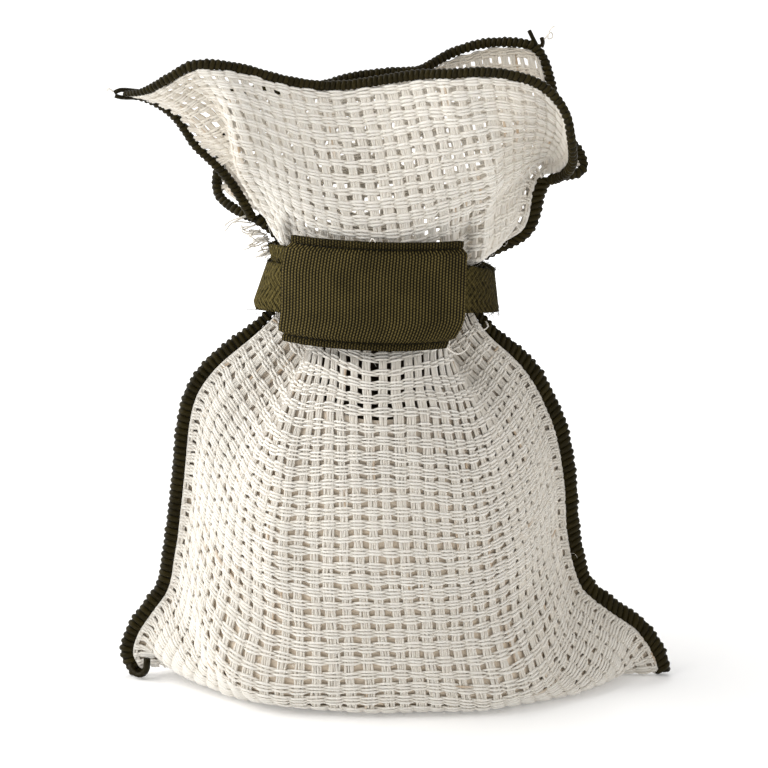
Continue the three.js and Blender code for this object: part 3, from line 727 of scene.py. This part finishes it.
def new_cloth_finish(name, roughness, specular, sheen=0.0):
    """A dull textile material, and a field in its node tree to build on."""
    material = bpy.data.materials.new(name)
    material.use_nodes = True
    shader = material.node_tree.nodes["Principled BSDF"]
    set_inputs(shader, {"Roughness": roughness, "Specular IOR Level": specular,
                        "Sheen Weight": sheen, "Sheen Roughness": 0.5})
    return material, Field(material.node_tree), shader


def attribute(start, name):
    return start.node("ShaderNodeAttribute", {"attribute_name": name}, {}, "Fac")


def noise(start, scale, detail):
    """Noise all through the piece, with its scale in grains to the metre."""
    place = object_place(start)
    return start.node("ShaderNodeTexNoise", {}, {"Vector": place, "Scale": scale, "Detail": detail})


def finish(shader, colour, height, strength, depth):
    """Gives a shader its colour, and a relief that is some fraction of a millimetre deep."""
    relief = {"Height": height, "Strength": strength, "Distance": depth * MM}
    normal = height.node("ShaderNodeBump", {}, relief)
    colour.tree.links.new(colour.socket, shader.inputs["Base Color"])
    colour.tree.links.new(normal.socket, shader.inputs["Normal"])


# The yarn colours: light, a darker one that also carries painted shade, a tan for slubs, and a dark
# painted shade for the inside of the pouch.
YARN_LIGHT = (0.84, 0.81, 0.75, 1)
YARN_SHADE = (0.66, 0.605, 0.52, 1)
YARN_TAN = (0.42, 0.28, 0.15, 1)
INSIDE_PAINTED_SHADE = (0.13, 0.105, 0.08, 1)

linen, start, linen_shader = new_cloth_finish("linen_yarn", 0.6, 0.3, sheen=0.2)
set_inputs(linen_shader, {"Subsurface Weight": 0.25, "Subsurface Radius": (1, 0.95, 0.9),
                          "Subsurface Scale": 0.0006})
fibre = noise(start, 900, 3)
plain = (attribute(start, "tone_and_painted_shade") * 0.75 + fibre * 0.3).mix(YARN_LIGHT, YARN_SHADE)
flecked = attribute(start, "slub").mix(plain, YARN_TAN)
# Under the neck the inner side of the yarns takes a dark painted shade.
yarn_colour = attribute(start, "inside_shade_mask").mix(flecked, INSIDE_PAINTED_SHADE)
finish(linen_shader, yarn_colour, fibre, 0.35, 0.2)


# The heights between which the inside of the pouch gets a painted shade, and how far inward a side
# faces there.
INSIDE_FROM = (58, 70)
INSIDE_TO = (118, 100)
FACES_INWARD = (-0.1, 0.5)


def paint_inside_shade(mesh):
    """Paints shade on the inner side of a panel under the neck, where the inside of the pouch is dark:
    a painted shade.
    """
    place, normal = np.zeros((2, len(mesh.vertices), 3))
    mesh.vertices.foreach_get("co", place.ravel())
    mesh.vertices.foreach_get("normal", normal.ravel())
    _, y, z = (place / MM + FOOTPRINT_MIDDLE).T
    inside = ease(*INSIDE_FROM, z) * ease(*INSIDE_TO, z)
    inside = inside * ease(*FACES_INWARD, -normal[:, 1] * np.sign(y))
    layer = mesh.attributes.new("inside_shade_mask", "FLOAT", "POINT")
    layer.data.foreach_set("value", inside.astype(np.float32))


for side in ("front", "back"):
    warp, weft = weave_panel(side == "front")
    for kind, strands, width in (("warp", warp, WARP_YARN), ("weft", weft, WEFT_YARN)):
        mesh = strands_to_mesh(f"{side}_{kind}", strands, width)
        paint_inside_shade(mesh)
        add_piece(f"{side}_{kind}", mesh, linen, "cloth", "pouch_cloth")


# The tan paper that fills the pouch out, as it shows through the holes of the mesh. It is one thin
# length, folded at the bottom as the cloth is. It ends under the shoulder at the front, and at the
# neck behind.
PAPER_LIFT = -0.8
PAPER_THICK = 0.15
PAPER_TOP = {"front": 114.3, "back": 122}
PAPER_TOP_RISE = 4
PAPER_RISES = (15, 35)
PAPER_MARGIN = 2.2
PAPER_COLUMNS, PAPER_ROWS = 60, 110


def bend_sheet(name, columns, rows, place, sizes, thick):
    """A flat sheet is cut as a grid, bent into place by a function of two shares, and given its
    thickness inwards. Its UV map holds its flat places in millimetres."""
    shape = bmesh.new()
    bmesh.ops.create_grid(shape, x_segments=columns, y_segments=rows, size=0.5)
    shape.verts.index_update()
    shares = np.array([v.co[:2] for v in shape.verts]) + 0.5
    points = (place(shares[:, 0], shares[:, 1]) - FOOTPRINT_MIDDLE) * MM
    flat_map = shape.loops.layers.uv.new("flat")
    for face in shape.faces:
        for loop in face.loops:
            loop[flat_map].uv = shares[loop.vert.index] * sizes
    for vert, point in zip(shape.verts, points):
        vert.co = point
    shape.normal_update()
    bmesh.ops.solidify(shape, geom=shape.faces, thickness=thick * MM)
    mesh = bpy.data.meshes.new(name)
    shape.to_mesh(mesh)
    shape.free()
    mesh.shade_smooth()
    return mesh


def paper_place(across_share, along_share):
    across = (2 * across_share - 1) * (HALF_WIDTH - PAPER_MARGIN)
    along = 2 * along_share - 1
    top = np.where(along > 0, PAPER_TOP["front"], PAPER_TOP["back"])
    top = top + PAPER_TOP_RISE * ease(*PAPER_RISES, np.abs(across))
    return on_cloth(across, along * top, PAPER_LIFT)


paper_length = sum(PAPER_TOP.values()) + 2 * PAPER_TOP_RISE
paper_width = 2 * (HALF_WIDTH - PAPER_MARGIN)
paper_mesh = bend_sheet("filling_paper", PAPER_COLUMNS, PAPER_ROWS, paper_place,
                        (paper_width, paper_length), PAPER_THICK)
# The paper's inner side under the neck takes the same painted shade as the yarns.
paint_inside_shade(paper_mesh)

PAPER_LIGHT = (0.88, 0.77, 0.63, 1)
PAPER_SHADE = (0.78, 0.66, 0.52, 1)
tan_paper, start, paper_shader = new_cloth_finish("tan_paper", 0.9, 0.1)
patches = noise(start, 60, 4)
paper_colour = attribute(start, "inside_shade_mask").mix(patches.mix(PAPER_LIGHT, PAPER_SHADE), INSIDE_PAINTED_SHADE)
finish(paper_shader, paper_colour, patches, 0.4, 0.5)
paper = add_piece("filling_paper", paper_mesh, tan_paper, "cloth")


# The overlocked edges: dark olive thread wound tightly over the raw edges of the cloth, up both
# side seams and round each flap. Three strands of a flat core lie side by side inside the turns,
# coloured darkest as a painted shade in the gaps between them.
STITCH_POINTS = 12
STITCH_SLANT = 0.5
STITCH_UNEVEN = 0.08
EDGE_STEP = 0.5
EDGE_INSET = 2.5
SEAM_START = 0.2
CORNER_RADIUS = 5
CORNER_POINTS = 12
FLAP_EDGE_START = {"left": 1, "right": 3.2}
SEAM_OVERLOCK = {"pitch": 1.75, "thread": 1.7, "half_thick": 0.95, "half_width": 1.6, "shift": -0.15}
FLAP_OVERLOCK = {"pitch": 1.4, "thread": 1.4, "half_thick": 0.55, "half_width": 0.75, "shift": 0.7}
TIP_NARROWING = 0.45
TIP_REACH = 28
UNDER_TAPE_NARROWING = 0.5
NEAR_TAPE = (24, 6)
CORE_FULLNESS = 0.25
CORE_STEP = 4
THREAD_DARK = (0.0012, 0.0009, 0.0002, 1)
THREAD_LIGHT = (0.036, 0.027, 0.006, 1)

stitch_chance = np.random.default_rng(5)


def wound_edge(centre, outward, scale, pitch, thread, half_thick, half_width, shift):
    """The strands of an edge: the turns of thread, and the core inside them. Scale narrows them."""
    reached = distances(centre)
    turns = int(reached[-1] / pitch)
    wanted = np.linspace(0, reached[-1], turns * STITCH_POINTS + 1)
    centre = values_at(wanted, reached, centre)
    along = unit(np.gradient(centre, axis=0))
    out = values_at(wanted, reached, outward)
    out = unit(out - along * (out * along).sum(1, keepdims=True))
    flat = np.cross(along, out)
    angle = 2 * math.pi * np.arange(len(wanted)) / STITCH_POINTS
    uneven = np.repeat(stitch_chance.normal(size=turns + 1), STITCH_POINTS)[:len(wanted)]
    scale = np.interp(wanted, reached, scale)
    wide = half_width * scale * (1 + STITCH_UNEVEN * uneven) * np.cos(angle)
    thick = half_thick * scale * np.sin(angle)
    slant = STITCH_SLANT * np.cos(angle)
    middle = centre + out * shift
    points = middle + out * wide[:, None] + flat * thick[:, None] + along * slant[:, None]
    shades = np.repeat(0.4 + 0.6 * stitch_chance.random(turns + 1), STITCH_POINTS)[:len(wanted)]
    strands = [plain_strand(points, 0.4 + 0.6 * scale, shades)]
    # The cores keep the darkest colour: painted shade in the gaps between the turns.
    core_widths = 2 * (half_thick + CORE_FULLNESS) / thread * scale
    for hand in (-1, 0, 1):
        core = middle + hand * out * (half_width / 2 * scale)[:, None]
        strands.append(plain_strand(core[::CORE_STEP], core_widths[::CORE_STEP]))
    return strands


olive_thread, start, thread_shader = new_cloth_finish("overlock_thread", 0.35, 0.08)
twist = noise(start, 1500, 2)
# Each turn's own colour, and the dark cores' painted shade, set how light the thread is.
tone_and_shade = twist * 0.35 + noise(start, 160, 2) * 0.35 + attribute(start, "tone_and_painted_shade") * 0.45 - 0.15
finish(thread_shader, tone_and_shade.mix(THREAD_DARK, THREAD_LIGHT), twist, 0.5, 0.2)


def seam_path(hand):
    """The side seam between the two layers, from the bottom corner to the split."""
    up = np.arange(SEAM_START, SPLITS[hand], EDGE_STEP)
    across = np.full(len(up), -HALF_WIDTH if hand == "left" else HALF_WIDTH)
    centre = (on_cloth(across, up) + on_cloth(across, -up)) / 2
    out = np.array([edge_at("front", hand, u)[1] for u in up])
    from_tape = np.abs(centre[:, 2] - TAPE_MIDDLE_HEIGHT)
    return centre, out, 1 - UNDER_TAPE_NARROWING * ease(*NEAR_TAPE, from_tape)


def flap_path(side):
    """The edge of a flap, up its left side, round two small corners and down its right side."""
    sign = 1 if side == "front" else -1
    top = LENGTH - CORNER_RADIUS
    straight = HALF_WIDTH - CORNER_RADIUS
    turns = np.linspace(0, math.pi / 2, CORNER_POINTS)
    corner = [(math.cos(turn), math.sin(turn)) for turn in turns]
    # Flat places along the edge, each with the flat direction that the edge faces there.
    flat = []
    for up in np.arange(SPLITS["left"] + FLAP_EDGE_START["left"], top, EDGE_STEP):
        flat.append((-HALF_WIDTH, sign * up, -1, 0))
    for c, s in corner:
        flat.append((-straight - CORNER_RADIUS * c, sign * (top + CORNER_RADIUS * s), -c, sign * s))
    for across in np.arange(-straight + EDGE_STEP, straight, EDGE_STEP):
        flat.append((across, sign * LENGTH, 0, sign))
    for c, s in reversed(corner):
        flat.append((straight + CORNER_RADIUS * c, sign * (top + CORNER_RADIUS * s), c, sign * s))
    for up in np.arange(top, SPLITS["right"] + FLAP_EDGE_START["right"], -EDGE_STEP):
        flat.append((HALF_WIDTH, sign * up, 1, 0))
    across, along, out_across, out_along = np.array(flat).T
    centre = on_cloth(across, along)
    inner = on_cloth(across - EDGE_INSET * out_across, along - EDGE_INSET * out_along)
    from_tip = np.hypot(across + HALF_WIDTH, along - LENGTH)
    return centre, centre - inner, 1 - TIP_NARROWING * ease(TIP_REACH, 0, from_tip)


EDGES = (
    ("side_seam_left", seam_path("left"), SEAM_OVERLOCK),
    ("side_seam_right", seam_path("right"), SEAM_OVERLOCK),
    ("front_edge", flap_path("front"), FLAP_OVERLOCK),
    ("back_edge", flap_path("back"), FLAP_OVERLOCK),
)
for node, path, sizes in EDGES:
    mesh = strands_to_mesh(f"{node}_thread", wound_edge(*path, **sizes), sizes["thread"], sides=8)
    add_piece(f"{node}_thread", mesh, olive_thread, "overlock", node)


# The neck tape: olive herringbone cotton, 13 mm wide, wound twice round the neck, so that its ends
# hide behind the woven band. On the left its second turn flares out below and slips down over the
# first, and on the right both hang a little lower and take a painted shade.
CLEARANCE = 0.3
TAPE_WIDTH = 13
TAPE_LENGTH = 340
TAPE_THICK = 1.0
TAPE_PITCH = 1.45
TAPE_FLARE = {"left": 4.6, "right": 1.3, "back": 0.9}
FLARE_PIVOT = {"left": 0.13, "right": 0.1}
TAPE_FRONT_RISE = 3.2
FIRST_TURN_RISE = 1.8
SECOND_TURN_DROP = 2.6
FIRST_TURN_TUCK = 1.5
LOW_EDGE = 0.22
LOW_EDGE_CURL = 1.4
RIGHT_NARROWING = 0.12
TAPE_COLUMNS, TAPE_ROWS = 340, 12
BAND_THICK = 1.0
NECK_FRONT = NECK_DEPTH + REST + 2 * CLEARANCE + BAND_THICK
NECK_BACK = NECK_DEPTH + REST + CLEARANCE + TAPE_FLARE["back"]
TAPE_FIRST, TAPE_CLIMB, TAPE_CLIMBED, TAPE_LAST = np.radians((2, 338, 358, 696))

# Its herringbone: how wide a chevron is, and how far apart the ridges and the grain across them lie.
CHEVRON = 3.25
TAPE_RIDGE = 1.9
TAPE_GRAIN = 0.95
# Where, in metres across the pouch, the tape's right end turns to a painted shade, and its colours: in
# the hollows, on top, and in that painted shade.
TAPE_SHADE_RANGE = {"From Min": 0.01, "From Max": 0.024}
TAPE_DARK = (0.01, 0.008, 0.002, 1)
TAPE_LIGHT = (0.165, 0.13, 0.042, 1)
TAPE_PAINTED_SHADE = (0.075, 0.058, 0.018, 1)


def neck_place(turn, outward):
    """Places on the oval of the neck. A turn of 0 is its front, and it grows to the right."""
    depth = np.where(np.cos(turn) > 0, NECK_FRONT, NECK_BACK)
    across, back = np.sin(turn), -np.cos(turn)
    out = unit(np.stack((across / NECK_HALF_WIDTH, back / depth, 0 * turn), -1))
    base = np.stack((NECK_HALF_WIDTH * across + NECK_MIDDLE_X, depth * back, 0 * turn), -1)
    return base + out * np.asarray(outward)[..., None]


def tape_place(along, level):
    """Where the tape lies, from how far along it a place is and how high up its width."""
    turn = TAPE_FIRST + along * (TAPE_LAST - TAPE_FIRST)
    layer = ease(TAPE_CLIMB, TAPE_CLIMBED, turn)
    leftward = -np.sin(turn)
    side_flare = np.where(leftward > 0, TAPE_FLARE["left"], TAPE_FLARE["right"])
    share = np.sin(turn) ** 4
    flare = TAPE_FLARE["back"] * (1 - share) + side_flare * share
    flare = flare * ease(-0.7, -0.1, -np.cos(turn))
    rise = TAPE_FRONT_RISE * np.maximum(0, np.cos(turn))
    drop = SECOND_TURN_DROP * layer - FIRST_TURN_RISE * (1 - layer)
    drop = drop * ease(0, 0.9, leftward)
    narrowing = RIGHT_NARROWING * ease(0.6, 1, -leftward)
    middle = TAPE_MIDDLE_HEIGHT + TAPE_SLANT * leftward - narrowing * TAPE_WIDTH / 2
    z = middle + rise - drop + (level - 0.5) * TAPE_WIDTH * (1 - narrowing)
    pivot = np.where(leftward > 0, FLARE_PIVOT["left"], FLARE_PIVOT["right"])
    pivot = FLARE_PIVOT["right"] * (1 - share) + pivot * share
    spread = flare * (pivot - (level - 0.5))
    folded = ease(0.75, 0.98, leftward)
    tuck = FIRST_TURN_TUCK * (1 - 0.6 * ease(0.6, 1, level)) + spread
    spread = spread - tuck * folded * (1 - layer)
    spread = spread - LOW_EDGE_CURL * folded * layer * ease(LOW_EDGE, 0, level) ** 2
    place = neck_place(turn, layer * TAPE_PITCH + spread + TAPE_THICK)
    place[:, 2] = z
    return place


def flat_place(start, axis):
    """One side of a bent sheet's flat place, in millimetres."""
    flat = start.node("ShaderNodeUVMap", {"uv_map": "flat"}, {})
    return start.node("ShaderNodeSeparateXYZ", {}, {"Vector": flat}, axis)


def ribs(place, pitch):
    """Rises from 0 to 1 and falls again, once in each pitch."""
    return place.math("PINGPONG", place / pitch, 0.5) * 2


olive_tape, start, tape_shader = new_cloth_finish("olive_herringbone", 0.9, 0.05)
along = flat_place(start, "X")
flip = ribs(flat_place(start, "Y"), 2 * CHEVRON) * CHEVRON
ridge = ribs(along + flip, TAPE_RIDGE)
grain = ribs(along - flip, TAPE_GRAIN)
fuzz = noise(start, 1300, 3)
nubs = noise(start, 900, 1)
height = ridge * 0.5 + grain * 0.3 + fuzz * 0.4 + nubs * 1.3 - 0.8
# Towards its right end the tape takes a painted shade, as it lies in shade there.
rightward = start.node("ShaderNodeSeparateXYZ", {}, {"Vector": object_place(start)}, "X")
right_shade = start.node("ShaderNodeMapRange", {}, {"Value": rightward, **TAPE_SHADE_RANGE})
# The colour follows the relief, darkest in the hollows of the weave: painted shade over the tape's own
# olive.
tape_colour = height.mix(TAPE_DARK, right_shade.mix(TAPE_LIGHT, TAPE_PAINTED_SHADE))
finish(tape_shader, tape_colour, height, 1.0, 0.8)

tape_mesh = bend_sheet("neck_tape_strip", TAPE_COLUMNS, TAPE_ROWS, tape_place,
                       (TAPE_LENGTH, TAPE_WIDTH), TAPE_THICK)
tape = add_piece("neck_tape_strip", tape_mesh, olive_tape, "tape", "neck_tape")


# The woven band: a ribbed olive strip doubled into a sleeve round the tape, its two layers sewn
# together along a narrow hem above and below. Its face is plain.
BAND_WIDTH = 52
BAND_HEIGHT = 28
BAND_SHIFT = -1
BAND_HEM = 1.9
BAND_TILT = math.radians(-1.5)
DRAWN_IN = {"top left": 1.3, "low left": -0.8, "top right": -0.1, "low right": 3}
CORNER_CURL = 1.6
BAND_LAYER = 0.7
HEM_CLOSES = 1.3
HEM_FULLNESS = 0.95
GROOVE_WIDTH = 0.35
GROOVE_DEPTH = 0.45
BAND_COLUMNS, BAND_ROWS = 80, 60
RIB_PITCH = 0.885
BEAD_PITCH = 0.76
BAND_DARK = (0.004, 0.003, 0.0008, 1)
BAND_LIGHT = (0.175, 0.135, 0.045, 1)
BAND_ROOM = TAPE_PITCH + TAPE_THICK + 2 * CLEARANCE
BAND_CURVE_RADIUS = NECK_HALF_WIDTH + 6


def band_place(face):
    """How one layer of the sleeve lies: full over the tape and pressed together at the hems."""
    def place(along, up):
        x = (along - 0.5) * BAND_WIDTH
        level = (up - 0.5) * BAND_HEIGHT
        middle = BAND_ROOM / 2
        hem_start = BAND_HEIGHT / 2 - BAND_HEM
        pressed = ease(hem_start - HEM_CLOSES, hem_start, np.abs(level))
        if face == "front":
            full, hem = BAND_ROOM + BAND_THICK, middle + HEM_FULLNESS
            groove = GROOVE_DEPTH * np.exp(-((np.abs(level) - hem_start) / GROOVE_WIDTH) ** 2)
        else:
            full, hem, groove = 0.0, middle, 0.0
        outward = full + (hem - full) * pressed - groove
        share = 2 * level / BAND_HEIGHT
        top = ease(0.3, 1, share)
        low_left = ease(-0.3, -1, share)
        low_right = ease(-0.4, -1.05, share)
        left_in = DRAWN_IN["top left"] * top + DRAWN_IN["low left"] * low_left
        right_in = DRAWN_IN["top right"] * top + DRAWN_IN["low right"] * low_right
        drawn = x + (left_in - 0.4) * (1 - along) - (right_in + 0.6) * along
        low_corner = ease(0.6, 1, along) ** 2 * np.clip(-share, 0, 1) ** 3
        outward = outward - CORNER_CURL * low_corner
        turn = np.arcsin((drawn + BAND_SHIFT) / BAND_CURVE_RADIUS)
        point = neck_place(turn, outward - CLEARANCE)
        point[:, 0] += level * math.sin(-BAND_TILT)
        point[:, 2] = BAND_MIDDLE_HEIGHT + level + x * math.sin(BAND_TILT)
        return point
    return place


ribbed_band, start, band_shader = new_cloth_finish("ribbed_band", 0.8, 0.06)
across = flat_place(start, "X")
up = flat_place(start, "Y")
rib_number = across.math("FLOOR", across / RIB_PITCH)
odd = rib_number.math("MODULO", rib_number, 2.0)
ridge = ribs(across, RIB_PITCH)
bead = ribs(up + odd * (BEAD_PITCH / 2), BEAD_PITCH)
height = ridge * 0.5 + ridge * bead * 0.8 - 0.1
off_middle = up.math("ABSOLUTE", up - BAND_HEIGHT / 2)
hem = up.math("GREATER_THAN", off_middle, BAND_HEIGHT / 2 - BAND_HEM)
patches = noise(start, 130, 3)
# The colour falls in the hollows of the ribs and in broad patches: painted shade over the band's own
# olive. The hems are darker as well.
tone_and_shade = (height * (patches * 0.9 + 0.65) - 0.14) * (1 - hem * 0.35)
finish(band_shader, tone_and_shade.mix(BAND_DARK, BAND_LIGHT), height, 0.8, 0.4)

for face in ("front", "back"):
    mesh = bend_sheet(f"band_{face}", BAND_COLUMNS, BAND_ROWS, band_place(face),
                      (BAND_WIDTH, BAND_HEIGHT), BAND_LAYER)
    add_piece(f"band_{face}", mesh, ribbed_band, "band", "label_band")


# The hems of the woven band are held by a running stitch of dark thread, above and below.
HEM_STITCH = 1.9
HEM_THREAD = 0.5
HEM_SPAN = (0.03, 0.97)
HEM_LIFT, HEM_SWING = 0.15, 0.3
STITCH_STEPS = 6


def hem_line(up_share):
    """One running stitch along a hem, in and out of the face of the band."""
    span = HEM_SPAN[1] - HEM_SPAN[0]
    count = int(BAND_WIDTH * span / HEM_STITCH) * STITCH_STEPS
    along = np.linspace(*HEM_SPAN, count)
    line = band_place("front")(along, np.full(count, up_share))
    line[:, 1] -= HEM_LIFT + HEM_SWING * np.cos(np.arange(count) * 2 * math.pi / STITCH_STEPS)
    return line


hem_share = BAND_HEM / BAND_HEIGHT
strands = [plain_strand(hem_line(up_share)) for up_share in (hem_share, 1 - hem_share)]
add_piece("band_hem_stitches", strands_to_mesh("band_hem_stitches", strands, HEM_THREAD, sides=6),
          olive_thread, "overlock")


# Loose ends: the overlock's chain runs on past its corners in short tails, stray yarns hang about,
# the cut ends of the weft stick out beside the neck on the left, and fine fibres stand off the
# yarns and the edges of the tape.
OLIVE_TAILS = (
    ((-63, -6.5, 161.4), (-67, -7, 161.9), (-70.6, -7, 162.1), (-72.6, -7, 161.2)),
    ((-63, -6.5, 159.8), (-67, -6.6, 160.1), (-70.6, -6.8, 160.2), (-72.4, -7, 160.8)),
    ((39, 15, 171.8), (38, 15, 173.6), (37, 15.2, 175.6), (36.6, 15.4, 176.4)),
    ((40, 15, 171.8), (40.4, 15, 173), (40, 14.8, 174.4)),
)
WHITE_TAILS = (
    ((-72.4, -7.2, 161.6), (-73.6, -7.4, 162.5), (-74.2, -7.4, 161.8)),
    ((39.8, 15, 172), (41, 15, 174.2), (42.6, 15, 175.8), (43, 15.2, 174.4), (41.8, 15.4, 174),
     (42.4, 15.2, 176.6), (43.4, 15, 177.4)),
    ((-42.5, 1, 137.5), (-40.8, 0.6, 134.4), (-38.6, 0.2, 131.6), (-38, -1, 129.8),
     (-39.6, -1.4, 130.2), (-40.4, -1, 132)),
    ((38.6, -7, 141), (37, -9, 143), (35.6, -9.4, 141.6), (36.4, -8.6, 139.6)),
    ((14, -24.6, 97.4), (16.6, -25.2, 95.8), (19, -23.6, 96.6), (20.4, -21, 98.6)),
    ((21.5, -8, 100.4), (23.4, -9, 99), (25.4, -7.6, 99.8), (24.6, -6.6, 101.4)),
    ((-6, -24.9, 124.4), (-5.2, -26, 126), (-4.4, -25.6, 125), (-4.8, -24.6, 123.8)),
)
CORNER_TAIL = (
    ((-72.6, 0, 5), (-71.8, -2, 2.2), (-69.6, -3.6, 1.2), (-67.8, -4.4, 3), (-67.4, -4.6, 6.4)),
)
OLIVE_TAIL = 1.15
CORNER_THREAD = 1.9
WHITE_TAIL = 0.42
FRAY_WIDTH = 0.42
FRAY_REACH = (1.5, 4.5)
FRAYED_ENDS = 28
FRAY_PLACES = ((-41, 0, 128), (-38, 0, 125.5), (-34.5, 0, 122), (-31.6, 0, 118.4))
TAPE_FUZZ = 700
FUZZ_WIDTH = 0.14
FIBRES = 1700
FIBRE_WIDTH = 0.07
FIBRE_DRIFT = 0.8
FIBRE_LIFT = (0.3, 0.9, 1.2, 1.1)
EDGE_MARGIN = 3
LOOSE_STEP = 16
LOOSE_SHADE = 0.3

loose_chance = np.random.default_rng(23)


def thread_piece(name, lines, width, material, slot):
    """Loose threads, each along a smooth line through a few places."""
    strands = [plain_strand(smooth_line(places)[::LOOSE_STEP], 1, LOOSE_SHADE) for places in lines]
    add_piece(name, strands_to_mesh(name, strands, width), material, slot)


thread_piece("overlock_tails", OLIVE_TAILS, OLIVE_TAIL, olive_thread, "overlock")
thread_piece("corner_tail", CORNER_TAIL, CORNER_THREAD, olive_thread, "overlock")
thread_piece("yarn_tails", WHITE_TAILS, WHITE_TAIL, linen, "cloth")

fuzz_lines = []
for along in loose_chance.random(TAPE_FUZZ):
    root = tape_place(np.array([along]), np.array([float(loose_chance.random() < 0.5)]))[0]
    way = loose_chance.normal(size=3) * 0.5
    fuzz_lines.append((root, root + way, root + 1.6 * way + loose_chance.normal(size=3) * 0.2))
thread_piece("tape_fuzz", fuzz_lines, FUZZ_WIDTH, olive_thread, "tape")

fray_line = smooth_line(FRAY_PLACES)
frays = []
for share in loose_chance.random(FRAYED_ENDS):
    root = at_share(fray_line, share)
    way = np.array((-1, loose_chance.uniform(-0.7, 0.3), loose_chance.uniform(-0.8, 0.5)))
    reach = loose_chance.uniform(*FRAY_REACH)
    bend = loose_chance.normal(size=3) * 0.5
    frays.append((root - way * 1.5, root + way * reach * 0.5 + bend, root + way * reach))
thread_piece("frayed_ends", frays, FRAY_WIDTH, linen, "cloth")

fibres = []
for _ in range(FIBRES):
    flat = []
    for limit in (HALF_WIDTH - EDGE_MARGIN, LENGTH - EDGE_MARGIN):
        middle = loose_chance.uniform(-1, 1) * limit
        flat.append(middle + np.cumsum(loose_chance.normal(size=4)) * FIBRE_DRIFT)
    lift = np.array(FIBRE_LIFT) + loose_chance.uniform(-0.2, 0.5)
    fibres.append(on_cloth(*flat, lift))
thread_piece("loose_fibres", fibres, FIBRE_WIDTH, linen, "cloth")
